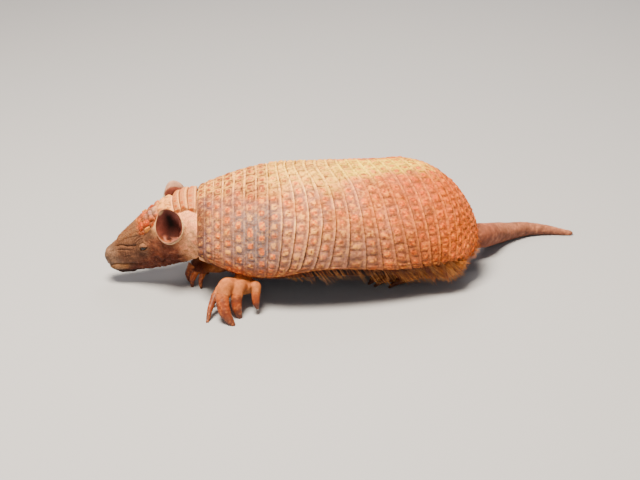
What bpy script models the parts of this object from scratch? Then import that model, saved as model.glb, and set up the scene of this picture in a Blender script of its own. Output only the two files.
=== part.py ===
"""A life-size greater naked-tailed armadillo, standing with its head held low.

Units are metres, +Z is up, the head points to -X and the animal's left side faces -Y.
The body is built along a spine that curves to the animal's right. A place on the body is
(along, side, height): along the spine towards the tail, out to the right side, and above
the floor. A place on the head is (forward, side, up) from the back of the skull.
The finished model stands on the floor, centred on its own footprint.
"""

import math
from dataclasses import dataclass

import bmesh
import bpy
import numpy as np
from mathutils import Matrix, Vector

# ---------------------------------------------------------------- driving dimensions

BEND_RADIUS = 0.50  # the flexible part of the back bends to the right on this radius
BEND_START = -0.080  # along the spine, where that bend begins
BEND_END = 0.115  # and where it ends; the rigid parts before and after it are straight
GAP = 0.0004  # clearance between neighbouring solids
BAND_GAP = 0.0010  # clearance between the plates of the shell
PLATE = 0.0040  # thickness of the bony shell with its horn
STEP = 0.0012  # how far the rear edge of each movable band stands proud

SHELL_FRONT = -0.161  # front rim of the shoulder shield, along the midline of the back
SHOULDER_ROWS = 5
BAND_FRONT = -0.077  # front edge of the first movable band
BAND_COUNT = 13
BAND_PITCH = 0.0133
RUMP_FRONT = BAND_FRONT + BAND_COUNT * BAND_PITCH
RUMP_ROWS = 6
DOME_START = 0.088  # where the back begins to round down to the tail
DOME_RADIUS = 0.088
DOME_TURN = math.radians(86)  # how far round the rump the shell reaches
RUMP_END = DOME_START + DOME_RADIUS * DOME_TURN
EDGE_TURN = math.radians(115)  # angle from the top of the back to the shell's lower edge
CROWN_TURN = math.radians(20)  # how far from the midline the rows bow forwards
ARCH_STEPS = 16  # facets across the shell

HEAD_LENGTH = 0.121
HEAD_PITCH = math.radians(24)
HEAD_ROLL = math.radians(-4)
HEAD_PLACE = (-0.164, 0.0, 0.0790)  # back of the skull, as a place on the body
EYE_RADIUS = 0.0036
EYE_PLACE = (0.0680, 0.0262, 0.0040)
EAR_PLACE = (0.0245, 0.0315, 0.0030)
EAR_HEIGHT = 0.041
EAR_WIDTH = 0.034
EAR_RISE = {-1: 0.24, 1: 0.46}  # how far up each ear is pricked, left and right, of its height
EAR_LEAN = {-1: 0.18, 1: 0.34}  # and how far it leans back

TAIL_ROOT_RADIUS = 0.0165
TAIL_TIP_RADIUS = 0.0030


# ---------------------------------------------------------------- the body's own space


def through(*knots):
    """A smooth curve through (place, value) pairs, as a function of place."""
    places, values = np.array(knots, float).T
    slopes = np.gradient(values, places)

    def value_at(place):
        place = np.clip(place, places[0], places[-1])
        i = np.clip(np.searchsorted(places, place) - 1, 0, len(places) - 2)
        width = places[i + 1] - places[i]
        t = (place - places[i]) / width
        rise = t * t * (3 - 2 * t)
        leave = t * (1 - t) ** 2 * width * slopes[i]
        arrive = t * t * (t - 1) * width * slopes[i + 1]
        return values[i] * (1 - rise) + values[i + 1] * rise + leave + arrive

    return value_at


def spine_heading(along):
    """The angle by which the spine has turned to the right, seen from the middle."""
    return np.clip(along, BEND_START, BEND_END) / BEND_RADIUS


def body_to_world(places):
    """Carries (along, side, height) on to the spine: an arc with a straight at each end."""
    along, side, height = np.moveaxis(np.asarray(places, float), -1, 0)
    heading = spine_heading(along)
    straight = along - heading * BEND_RADIUS
    x = (BEND_RADIUS - side) * np.sin(heading) + straight * np.cos(heading)
    y = BEND_RADIUS - (BEND_RADIUS - side) * np.cos(heading) + straight * np.sin(heading)
    return np.stack([x, y, height], axis=-1)


def head_axes():
    """The head's origin and its forward, right-hand side and up directions in the world."""
    level = Matrix.Rotation(spine_heading(HEAD_PLACE[0]), 3, "Z")
    tilt = Matrix.Rotation(-HEAD_PITCH, 3, "Y") @ Matrix.Rotation(HEAD_ROLL, 3, "X")
    turned = np.array(level @ tilt)
    return body_to_world(HEAD_PLACE), -turned[:, 0], turned[:, 1], turned[:, 2]


def head_to_world(places):
    """Carries (forward, side, up) on the head into the world."""
    origin, forward, side, up = head_axes()
    a, b, c = np.moveaxis(np.asarray(places, float)[..., None], -2, 0)
    return origin + a * forward + b * side + c * up


# ---------------------------------------------------------------- mesh helpers


def new_collection(name):
    collection = bpy.data.collections.new(name)
    bpy.context.scene.collection.children.link(collection)
    return collection


def new_object(name, mesh, collection):
    obj = bpy.data.objects.new(name, mesh)
    collection.objects.link(obj)
    return obj


def finished(obj, material):
    """Gives a piece its material and smooth shading with crisp corners."""
    obj.data.materials.clear()
    obj.data.materials.append(material)
    obj.data.shade_smooth()
    obj.data.set_sharp_from_angle(angle=math.radians(40))
    return obj


def loft(name, rings, collection, front_cap=None, rear_cap=None):
    """A closed solid through rings of points. A cap is a flat face, or a fan to a point."""
    count, around = rings.shape[:2]
    corners = rings.reshape(-1, 3)
    i, j = np.meshgrid(np.arange(count - 1), np.arange(around), indexing="ij")
    k = (j + 1) % around
    sides = np.stack([i * around + j, i * around + k, (i + 1) * around + k, (i + 1) * around + j], -1)
    faces = sides.reshape(-1, 4).tolist()
    caps = [(0, front_cap, 1), ((count - 1) * around, rear_cap, -1)]
    for first, centre, way in caps:
        rim = list(range(first, first + around))[::way]
        if centre is None:
            faces.append(rim[::-1])
            continue
        corners = np.vstack([corners, centre])
        tip = len(corners) - 1
        faces += [[rim[(n + 1) % around], rim[n], tip] for n in range(around)]
    mesh = bpy.data.meshes.new(name)
    mesh.from_pydata(corners.tolist(), [], faces)
    solid = bmesh.new()
    solid.from_mesh(mesh)
    bmesh.ops.recalc_face_normals(solid, faces=solid.faces)
    bmesh.ops.triangulate(solid, faces=[f for f in solid.faces if len(f.verts) > 4])
    solid.to_mesh(mesh)
    solid.free()
    return new_object(name, mesh, collection)


def plate(name, grid, collection, thickness=PLATE):
    """A plate of even thickness standing outwards on a grid of points of its inner face."""
    rows, columns = grid.shape[:2]
    i, j = np.meshgrid(np.arange(rows - 1), np.arange(columns - 1), indexing="ij")
    first = i * columns + j
    faces = np.stack([first, first + 1, first + columns + 1, first + columns], -1).reshape(-1, 4)
    mesh = bpy.data.meshes.new(name)
    mesh.from_pydata(grid.reshape(-1, 3).tolist(), [], faces.tolist())
    mesh.update()
    outwards = Vector(grid[rows // 2, columns // 2] - grid[rows // 2, [0, -1]].mean(axis=0))
    middle = mesh.polygons[(rows - 1) // 2 * (columns - 1) + (columns - 1) // 2]
    if middle.normal.dot(outwards) < 0:
        mesh.flip_normals()
    obj = new_object(name, mesh, collection)
    shell = obj.modifiers.new("thickness", "SOLIDIFY")
    shell.thickness = thickness
    shell.offset = 1
    shell.use_even_offset = True
    return obj


def mesh_of(obj):
    """The object's mesh with its modifiers applied, as a new mesh."""
    bpy.context.view_layer.update()
    graph = bpy.context.evaluated_depsgraph_get()
    return bpy.data.meshes.new_from_object(obj.evaluated_get(graph))


def remove(obj):
    bpy.data.objects.remove(obj, do_unlink=True)


def tube(name, path, radii, collection, sides=8):
    """A tapering round limb along a path of world points, as a welded mesh."""
    curve = bpy.data.curves.new(name, "CURVE")
    curve.dimensions = "3D"
    curve.bevel_depth = 1.0
    curve.bevel_resolution = sides // 2 - 2
    curve.use_fill_caps = True
    spline = curve.splines.new("POLY")
    spline.points.add(len(path) - 1)
    for point, place, radius in zip(spline.points, path, radii, strict=True):
        point.co = (*place, 1)
        point.radius = radius
    drawn = new_object(name + "_curve", curve, collection)
    mesh = mesh_of(drawn)
    remove(drawn)
    solid = bmesh.new()
    solid.from_mesh(mesh)
    bmesh.ops.remove_doubles(solid, verts=solid.verts, dist=1e-6)
    bmesh.ops.recalc_face_normals(solid, faces=solid.faces)
    solid.to_mesh(mesh)
    solid.free()
    return new_object(name, mesh, collection)


def ball(name, centre, radii, collection, axes=None, segments=10, rings=6):
    """A sphere stretched to three radii, turned to three axes, with its centre placed."""
    mesh = bpy.data.meshes.new(name)
    solid = bmesh.new()
    bmesh.ops.create_uvsphere(solid, u_segments=segments, v_segments=rings, radius=1)
    turned = Matrix(np.array(axes).T.tolist()).to_4x4() if axes is not None else Matrix()
    placed = Matrix.Translation(centre) @ turned @ Matrix.Diagonal((*radii, 1))
    bmesh.ops.transform(solid, matrix=placed, verts=solid.verts)
    bmesh.ops.recalc_face_normals(solid, faces=solid.faces)
    solid.to_mesh(mesh)
    solid.free()
    return new_object(name, mesh, collection)


def boolean(obj, other, operation):
    """Joins other to obj, or cuts it away, and keeps the result as obj's mesh."""
    step = obj.modifiers.new("join", "BOOLEAN")
    step.operation = operation
    step.object = other
    mesh = mesh_of(obj)
    obj.modifiers.clear()
    obj.data = mesh
    return obj


def largest_body(obj):
    """Drops the slivers that a cut leaves beside the piece itself."""
    solid = bmesh.new()
    solid.from_mesh(obj.data)
    left, bodies = set(solid.verts), []
    while left:
        body, edge = set(), [left.pop()]
        while edge:
            corner = edge.pop()
            body.add(corner)
            edge += [near for e in corner.link_edges for near in e.verts if near not in body]
        left -= body
        bodies.append(body)
    keep = max(bodies, key=len)
    bmesh.ops.delete(solid, geom=[v for v in solid.verts if v not in keep], context="VERTS")
    solid.to_mesh(obj.data)
    solid.free()
    return obj


def joined(obj, *others):
    for other in others:
        boolean(obj, other, "UNION")
        remove(other)
    return obj


def cut(obj, *cutters):
    for cutter in cutters:
        boolean(obj, cutter, "DIFFERENCE")
    return obj


def flattened(obj, level=0.0):
    """Cuts off what lies below the floor, which leaves a small flat to stand on."""
    solid = bmesh.new()
    solid.from_mesh(obj.data)
    geometry = solid.verts[:] + solid.edges[:] + solid.faces[:]
    floor = bmesh.ops.bisect_plane(
        solid, geom=geometry, plane_co=(0, 0, level), plane_no=(0, 0, -1), clear_outer=True
    )
    rim = [e for e in floor["geom_cut"] if isinstance(e, bmesh.types.BMEdge)]
    if rim:
        bmesh.ops.holes_fill(solid, edges=rim)
    bmesh.ops.recalc_face_normals(solid, faces=solid.faces)
    solid.to_mesh(obj.data)
    solid.free()
    return obj


def material(name, colour, roughness):
    made = bpy.data.materials.new(name)
    made.use_nodes = True
    shader = made.node_tree.nodes["Principled BSDF"]
    shader.inputs["Base Color"].default_value = (*colour, 1)
    shader.inputs["Roughness"].default_value = roughness
    shader.inputs["Metallic"].default_value = 0.0
    return made


# ---------------------------------------------------------------- the shell's surface

# Places along the midline of the back, with the half width of the shell, the height of
# its top, the height where it is widest, the height of its lower edge and of the belly.
half_width = through((-0.161, 0.065), (-0.130, 0.079), (-0.080, 0.094), (0.000, 0.101), (0.088, 0.100))
top_height = through((-0.161, 0.117), (-0.130, 0.129), (-0.080, 0.142), (0.000, 0.142), (0.088, 0.136))
waist_height = through((-0.161, 0.065), (-0.100, 0.060), (0.000, 0.055), (0.100, 0.048), (0.220, 0.042))
edge_height = through(
    (-0.161, 0.057), (-0.130, 0.045), (-0.100, 0.039), (-0.070, 0.041),
    (-0.030, 0.050), (0.040, 0.042), (0.090, 0.034), (0.220, 0.030)
)
belly_height = through(
    (-0.161, 0.042), (-0.120, 0.035), (-0.080, 0.029), (0.000, 0.026), (0.120, 0.021), (0.220, 0.022)
)
belly_squareness = through((-0.161, 1.0), (-0.080, 1.0), (0.060, 0.45), (0.220, 0.45))
flank_sweep = through(
    (-0.161, 0.0), (-0.077, -0.006), (-0.035, -0.022), (-0.008, -0.020),
    (0.020, 0.002), (0.050, 0.010), (0.096, 0.0)
)
crown_sweep = through(
    (-0.161, 0.0), (-0.077, 0.0), (-0.035, -0.008), (0.000, -0.007), (0.060, -0.004), (0.096, 0.0)
)
rump_sweep = through((0.070, 0.0), (0.096, -0.004), (0.220, -0.098))


def row_place(row, turn):
    """Where a row of the shell lies at a turn from the top of the back. row is its place on
    the upper flank: from there the rows bow forwards over the crown of the back, splay on the
    lower flanks, and behind the last band curve forwards round the tail and thighs."""
    low = np.clip((np.abs(turn) / EDGE_TURN - 0.43) / 0.57, 0, None) ** 1.5
    splay = flank_sweep(row) * low + rump_sweep(row) * (turn / EDGE_TURN) ** 2
    return row + splay + crown_sweep(row) * np.exp(-((turn / CROWN_TURN) ** 2))


def shell_surface(row, turn, inset=0.0):
    """The shell's outer face, or a face inset below it, at a row's place on the midline and a
    turn round the body from the top. Each section is half an ellipse above the widest line
    and part of a shallower one below it. Behind DOME_START the sections shrink round the
    rump."""
    place = row_place(row, turn)
    tilt = np.clip(place - DOME_START, 0, None) / DOME_RADIUS
    along = np.minimum(place, DOME_START) + (DOME_RADIUS - inset) * np.sin(tilt)
    waist, edge = waist_height(place), edge_height(place)
    wide = half_width(place) * np.cos(tilt) ** 0.75 - inset
    rise = (top_height(place) - waist) * np.cos(tilt) - inset
    drop = (waist - edge) / -math.cos(EDGE_TURN)
    height = waist + np.where(np.cos(turn) > 0, rise, drop) * np.cos(turn)
    return np.stack([along, wide * np.sin(turn), height], axis=-1)


TURNS = np.linspace(-EDGE_TURN, EDGE_TURN, ARCH_STEPS + 1)
BELLY_STEPS = 8
shoulder_rows = np.linspace(SHELL_FRONT, BAND_FRONT, SHOULDER_ROWS + 1)
band_rows = BAND_FRONT + BAND_PITCH * np.arange(BAND_COUNT + 1)
rump_rows = np.linspace(RUMP_FRONT, RUMP_END, RUMP_ROWS + 1)


def trunk_rings(growth=0.0):
    """Rings round the trunk: its back follows the shell's inner face, its belly hangs between
    the shell's edges. growth swells it, for cutting clearance into its neighbours."""
    rows = np.unique(np.round(np.concatenate([shoulder_rows, band_rows, rump_rows]), 6))
    back = shell_surface(rows[:, None], TURNS[None, :], inset=PLATE + GAP - growth)
    sag = np.linspace(0, math.pi, BELLY_STEPS + 2)[1:-1]
    edge = back[:, -1:, :]
    depth = edge[..., 2] - belly_height(edge[..., 0]) + growth
    below = np.empty((len(rows), BELLY_STEPS, 3))
    below[..., 0] = edge[..., 0]
    square = belly_squareness(edge[..., 0])
    below[..., 1] = (edge[..., 1] - 0.002 + growth) * np.sign(np.cos(sag)) * np.abs(np.cos(sag)) ** square
    below[..., 2] = edge[..., 2] - depth * np.sin(sag) ** 0.55
    rings = np.concatenate([back, below], axis=1)
    rings[0, :, 0] -= 1.5 * growth
    rings[-1, :, 0] += 1.5 * growth
    return rings


def make_trunk(name, collection, growth=0.0):
    rings = trunk_rings(growth)
    chest = rings[0].mean(axis=0) - (0.004 + 3 * growth, 0, 0)
    rump = rings[-1].mean(axis=0) + (0.002 + 3 * growth, 0, 0)
    caps = body_to_world([chest, rump])
    return loft(name, body_to_world(rings), collection, front_cap=caps[0], rear_cap=caps[1])


def make_shell_plate(name, rows, collection, step=0.0):
    """A plate of the shell between two rows. step lifts its rear edge clear of the next."""
    rows = np.array(rows, float)
    rows[0] += BAND_GAP / 2
    rows[-1] -= BAND_GAP / 2
    lift = step * (rows - rows[0]) / (rows[-1] - rows[0])
    grid = shell_surface(rows[:, None], TURNS[None, :], inset=PLATE - lift[:, None])
    return plate(name, body_to_world(grid), collection)


# ---------------------------------------------------------------- the head's surface

# Distances forward from the back of the skull to the nose, with the head's half width, the
# height of its brow and the depth of its jaw above and below the head's axis.
head_half_width = through(
    (-0.020, 0.053), (0.000, 0.0475), (0.014, 0.041), (0.030, 0.0366), (0.055, 0.031),
    (0.080, 0.0215), (0.100, 0.0155), (0.121, 0.0105)
)
brow_height = through(
    (-0.020, 0.034), (0.000, 0.036), (0.030, 0.036), (0.055, 0.0315),
    (0.080, 0.0235), (0.100, 0.0165), (0.121, 0.0105)
)
jaw_depth = through(
    (-0.020, 0.038), (0.000, 0.042), (0.030, 0.041), (0.055, 0.0365),
    (0.080, 0.0315), (0.100, 0.0270), (0.113, 0.0215), (0.121, 0.0155)
)
HEAD_SIDES = 20
NOSE_ROUNDING = 0.010


def head_surface(forward, turn, out=0.0):
    """The head's skin, or a face standing out from it, at a distance forward of the skull's
    back and a turn from the crown. Sections are ellipses with a deeper or shallower lower
    half, and the last stretch rounds off to the nose pad."""
    rounding = np.clip((forward - HEAD_LENGTH + NOSE_ROUNDING) / NOSE_ROUNDING, 0, 1)
    closing = np.sqrt(1 - 0.80 * rounding**2.5)
    wide = head_half_width(forward) * closing + out
    tall = np.where(np.cos(turn) > 0, brow_height(forward), jaw_depth(forward)) * closing + out
    return np.stack([forward + 0 * turn, wide * np.sin(turn), tall * np.cos(turn)], axis=-1)


HEAD_STATIONS = np.array([0.0, 0.016, 0.032, 0.048, 0.064, 0.080, 0.095, 0.106, 0.113, 0.118, 0.121])
HEAD_TURNS = np.linspace(0, 2 * math.pi, HEAD_SIDES, endpoint=False)


def make_head(name, collection, growth=0.0):
    rings = head_surface(HEAD_STATIONS[:, None], HEAD_TURNS[None, :], out=growth)
    return loft(name, head_to_world(rings), collection)


def make_neck(name, collection):
    """The neck runs from the flat back of the skull into the chest, inside the shell's rim."""
    skull = head_to_world(head_surface(np.full(1, -GAP)[:, None], HEAD_TURNS[None, :]))[0]
    chest_places = np.stack(
        [
            np.full(HEAD_SIDES, SHELL_FRONT + 0.030),
            0.058 * np.sin(HEAD_TURNS),
            0.075 + 0.033 * np.cos(HEAD_TURNS),
        ],
        axis=-1,
    )
    chest = body_to_world(chest_places)
    share = np.array([0.0, 0.3, 0.6, 1.0])[:, None, None]
    return loft(name, skull * (1 - share) + chest * share, collection)


# ---------------------------------------------------------------- head pieces

NAPE_ROWS = 3
NAPE_START = 0.013  # forward of the skull's back, where the first row across the nape begins
NAPE_HALF_TURN = math.radians(46)
NAPE_STEPS = 6
EAR_SIDES = 14
EAR_WALL = 0.0018
EAR_DEPTH = 0.017


def ear_axes(side):
    """The ear's origin and its outward, forward and up directions in the world."""
    origin, forward, right, up = head_axes()
    place = head_to_world((EAR_PLACE[0], side * EAR_PLACE[1], EAR_PLACE[2]))
    outward = (0.90 * side * right + 0.12 * forward + 0.40 * up)
    outward /= np.linalg.norm(outward)
    lean = up - up.dot(outward) * outward - EAR_LEAN[side] * forward
    lean -= lean.dot(outward) * outward
    lean /= np.linalg.norm(lean)
    return place, outward, np.cross(lean, outward) * side, lean


def make_ear(side, collection, head_cutter):
    """A funnel of thin skin, opening outwards from a narrow base to a wide oval rim."""
    name = "ear_right" if side > 0 else "ear_left"
    base, outward, across, up = ear_axes(side)
    depth = np.array([0.0, 0.35, 0.70, 1.0])[:, None, None]
    reach = (0.30 + 0.70 * np.sin(depth * math.pi / 2) ** 0.9)
    turn = np.linspace(0, 2 * math.pi, EAR_SIDES, endpoint=False)[None, :, None]
    wide = EAR_WIDTH / 2 * reach * np.sin(turn)
    tall = EAR_HEIGHT / 2 * reach * np.cos(turn)
    rise = EAR_HEIGHT * EAR_RISE[side] * depth
    outer = base + outward * (EAR_DEPTH * depth) + across * wide + up * (tall + rise)
    inner = outer - (across * wide + up * tall) * (EAR_WALL / (EAR_WIDTH / 2 * reach))
    floor = inner[0] + outward * EAR_WALL
    rings = np.concatenate([outer, inner[:0:-1], floor[None]])
    ear = loft(name, rings, collection)
    return cut(ear, head_cutter)


def make_eye(side, collection, growth=0.0):
    name = "eye_right" if side > 0 else "eye_left"
    centre = head_to_world((EYE_PLACE[0], side * EYE_PLACE[1], EYE_PLACE[2]))
    radius = EYE_RADIUS + growth
    return ball(name, centre, (radius, radius, radius), collection, segments=8, rings=6)


def head_plate_grid(first, last, rows, half_turn, columns):
    """Points just above the head's skin, for a plate laid over the crown."""
    forward = np.linspace(first, last, rows + 1)[:, None]
    turn = np.linspace(-1, 1, columns + 1)[None, :]
    spread = half_turn(forward)
    return head_to_world(head_surface(forward, turn * spread, out=0.0015))


def nape_point_grid(shares):
    """Points over the nape at shares of the way from the crown of the head, over the back of
    the skull, to the front rim of the shell."""
    turn = np.linspace(-1, 1, NAPE_STEPS + 1) * NAPE_HALF_TURN
    skull = head_surface(np.array([NAPE_START, 0.0])[:, None], turn[None, :], out=0.0016)
    rim_height = 0.078 + 0.0365 * np.cos(turn)
    rim = np.stack([np.full_like(turn, SHELL_FRONT - 0.0012), 0.050 * np.sin(turn), rim_height], -1)
    arcs = np.concatenate([head_to_world(skull), body_to_world(rim)[None]])
    place = np.asarray(shares) * 2
    first = np.minimum(place.astype(int), 1)
    part = (place - first)[:, None, None]
    return arcs[first] * (1 - part) + arcs[first + 1] * part


def make_nape_band(number, collection):
    """One of the short rows of scutes that cross the nape."""
    ends = (np.array([number, number + 1]) + (0.06, -0.06)) / NAPE_ROWS
    grid = nape_point_grid([ends[0], ends.mean(), ends[1]])
    return plate(f"nape_band_{number + 1}", grid, collection, thickness=0.0016)


# ---------------------------------------------------------------- limbs

# Each digit is given by places from the middle of its palm or sole: where it leaves the palm,
# its knuckle, the base of its claw, the middle of the claw and its tip, and the radii there.
FORE_RADII = (
    (0.0048, 0.0042, 0.0038, 0.0029, 0.0009),
    (0.0054, 0.0050, 0.0046, 0.0036, 0.0010),
    (0.0082, 0.0086, 0.0084, 0.0072, 0.0012),
    (0.0068, 0.0072, 0.0070, 0.0060, 0.0012),
    (0.0056, 0.0058, 0.0055, 0.0045, 0.0010),
)
LEFT_FORE_DIGITS = (
    (
        (-0.014, 0.004, 0.0), (-0.024, 0.003, -0.003), (-0.028, 0.001, -0.009),
        (-0.032, -0.002, -0.017), (-0.035, -0.006, -0.0275)
    ),
    (
        (-0.014, -0.003, 0.001), (-0.022, -0.008, 0.0), (-0.030, -0.016, -0.006),
        (-0.035, -0.028, -0.0155), (-0.039, -0.0424, -0.0275)
    ),
    (
        (-0.008, -0.004, 0.003), (-0.0165, -0.020, 0.010), (-0.0206, -0.030, 0.0007),
        (-0.0180, -0.041, -0.0131), (-0.0069, -0.0514, -0.0275)
    ),
    (
        (0.004, -0.004, 0.002), (-0.0016, -0.016, 0.0065), (-0.0042, -0.023, -0.003),
        (-0.0044, -0.029, -0.0144), (0.0, -0.0317, -0.0275)
    ),
    (
        (0.014, -0.002, 0.0), (0.018, -0.013, 0.005), (0.0178, -0.0185, -0.002),
        (0.0178, -0.022, -0.011), (0.0198, -0.024, -0.019)
    ),
)
RIGHT_FORE_DIGITS = (
    (
        (-0.008, -0.008, 0.0), (-0.014, -0.014, -0.001), (-0.017, -0.017, -0.006),
        (-0.019, -0.018, -0.014), (-0.019, -0.017, -0.0255)
    ),
    (
        (-0.012, -0.003, 0.0), (-0.020, -0.007, -0.001), (-0.025, -0.010, -0.006),
        (-0.029, -0.012, -0.014), (-0.030, -0.012, -0.0255)
    ),
    (
        (-0.010, 0.006, 0.0), (-0.020, 0.006, 0.0), (-0.027, 0.005, -0.005),
        (-0.031, 0.003, -0.014), (-0.030, -0.001, -0.0255)
    ),
    (
        (-0.002, 0.010, 0.001), (-0.008, 0.018, 0.002), (-0.012, 0.023, -0.004),
        (-0.014, 0.025, -0.012), (-0.012, 0.024, -0.0255)
    ),
    (
        (0.008, 0.008, 0.001), (0.010, 0.014, 0.001), (0.010, 0.019, -0.004),
        (0.010, 0.021, -0.010), (0.011, 0.021, -0.018)
    ),
)
HIND_RADII = ((0.0052, 0.0046, 0.0038, 0.0030, 0.0008),) * 5
LEFT_HIND_DIGITS = (
    (
        (-0.014, 0.010, -0.001), (-0.022, 0.014, -0.001), (-0.027, 0.0145, -0.002),
        (-0.032, 0.0145, -0.004), (-0.038, 0.0145, -0.008)
    ),
    (
        (-0.018, 0.006, 0.0), (-0.029, 0.007, 0.0), (-0.035, 0.0072, -0.001),
        (-0.041, 0.0072, -0.003), (-0.048, 0.007, -0.008)
    ),
    (
        (-0.018, -0.001, 0.0), (-0.032, -0.001, 0.0), (-0.038, -0.001, -0.001),
        (-0.044, -0.001, -0.003), (-0.052, -0.001, -0.008)
    ),
    (
        (-0.016, -0.007, 0.0), (-0.028, -0.009, 0.0), (-0.034, -0.0092, -0.001),
        (-0.040, -0.0092, -0.003), (-0.047, -0.009, -0.008)
    ),
    (
        (-0.006, -0.011, -0.001), (-0.016, -0.016, -0.001), (-0.022, -0.0175, -0.002),
        (-0.027, -0.0175, -0.004), (-0.033, -0.0175, -0.008)
    ),
)
RIGHT_HIND_DIGITS = tuple(tuple((a, -b, c) for a, b, c in places) for places in LEFT_HIND_DIGITS)


@dataclass
class Limb:
    """One leg: its top, the middle of its palm or sole, and its thickness along the way."""

    kind: str
    side: str
    top: tuple
    middle: tuple
    digits: tuple

    def __post_init__(self):
        fore = self.kind == "fore"
        self.digit_radii = FORE_RADII if fore else HIND_RADII
        self.palm_radii = (0.0210, 0.0125, 0.0105) if fore else (0.0250, 0.0145, 0.0095)
        self.leg_radii = (0.0180, 0.0130, 0.0096) if fore else (0.0240, 0.0200, 0.0135)
        self.toe_sides = 8 if fore else 6


LIMBS = (
    Limb("fore", "left", (-0.108, -0.036, 0.060), (-0.112, -0.076, 0.0260), LEFT_FORE_DIGITS),
    Limb("fore", "right", (-0.124, 0.030, 0.062), (-0.141, -0.010, 0.0240), RIGHT_FORE_DIGITS),
    Limb("hind", "left", (0.098, -0.045, 0.060), (0.085, -0.040, 0.0085), LEFT_HIND_DIGITS),
    Limb("hind", "right", (0.080, 0.048, 0.060), (0.055, 0.058, 0.0085), RIGHT_HIND_DIGITS),
)


def smooth_path(points, per_span):
    """Points along a smooth curve through a few places, evenly in each span."""
    points = np.asarray(points, float)
    steps = np.arange(len(points), dtype=float)
    fine = np.linspace(0, len(points) - 1, per_span * (len(points) - 1) + 1)
    columns = [through(*zip(steps, column, strict=True))(fine) for column in points.T]
    return np.stack(columns, axis=-1)


def make_foot(name, limb, collection, growth=0.0):
    """A palm or sole and the fleshy part of its toes, as one solid."""
    axes = np.array(Matrix.Rotation(spine_heading(limb.middle[0]), 3, "Z")).T
    radii = [radius + growth for radius in limb.palm_radii]
    foot = ball(name, body_to_world(limb.middle), radii, collection, axes=axes)
    for places, thick in zip(limb.digits, limb.digit_radii, strict=True):
        path = body_to_world(np.array(limb.middle) + np.array(places[:3]))
        joined(foot, tube(f"{name}_toe", path, np.array(thick[:3]) + growth, collection, limb.toe_sides))
    return foot


def make_claws(name, limb, collection, foot_cutter):
    """The claws of one foot, each starting at the end of its toe."""
    for number, (places, thick) in enumerate(zip(limb.digits, limb.digit_radii, strict=True), start=1):
        path = body_to_world(np.array(limb.middle) + np.array(places))
        step = path[3] - path[2]
        start = path[2] + step / np.linalg.norm(step) * GAP
        claw_path = smooth_path([start, path[3], path[4]], 2)
        claw_radii = np.interp(np.linspace(0, 2, len(claw_path)), range(3), thick[2:])
        claw = tube(f"{name}_claw_{number}", claw_path, claw_radii, collection, sides=6)
        yield flattened(cut(claw, foot_cutter))


def make_leg(name, limb, collection):
    """A short thick limb from the flank to the wrist or ankle."""
    inwards = math.copysign(0.0047, -limb.top[1])
    top, end = np.array(limb.top), np.array(limb.middle) + (0.0013, inwards, 0.0036)
    knee = (top + end) / 2 + (0.005, 0, 0)
    path = body_to_world(smooth_path([top, knee, end], 2))
    thick = np.interp(np.linspace(0, 2, len(path)), range(3), limb.leg_radii)
    return tube(name, path, thick, collection, sides=10)


def tail_path():
    """From inside the rump down to the floor and along it. The last places lie low enough for
    a narrow flat to be cut along the tail's underside."""
    places = [
        (0.138, -0.010, 0.0340), (0.188, -0.018, 0.0285), (0.236, 0.006, 0.0142), (0.288, 0.010, 0.0084),
        (0.337, -0.014, 0.0026)
    ]
    radii = (TAIL_ROOT_RADIUS, TAIL_ROOT_RADIUS * 0.97, 0.0138, 0.0086, TAIL_TIP_RADIUS)
    fine = np.linspace(0, 4, 13)
    return body_to_world(smooth_path(places, 3)), np.interp(fine, range(5), radii)


# ---------------------------------------------------------------- building the animal

CROWN_HALF_TURN = through(
    (0.0, math.radians(50)), (0.03, math.radians(38)), (0.055, math.radians(62)), (0.085, math.radians(48))
)


def centre_on_floor(objects):
    """Moves every object so that the model's bounding box stands centred on the floor."""
    bpy.context.view_layer.update()
    graph = bpy.context.evaluated_depsgraph_get()
    low, high = np.full(3, np.inf), np.full(3, -np.inf)
    for obj in objects:
        evaluated = obj.evaluated_get(graph)
        mesh = evaluated.to_mesh()
        corners = np.array([evaluated.matrix_world @ v.co for v in mesh.vertices])
        low, high = np.minimum(low, corners.min(axis=0)), np.maximum(high, corners.max(axis=0))
        evaluated.to_mesh_clear()
    shift = Vector(((low[0] + high[0]) / 2, (low[1] + high[1]) / 2, low[2]))
    for obj in objects:
        obj.location -= shift


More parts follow.
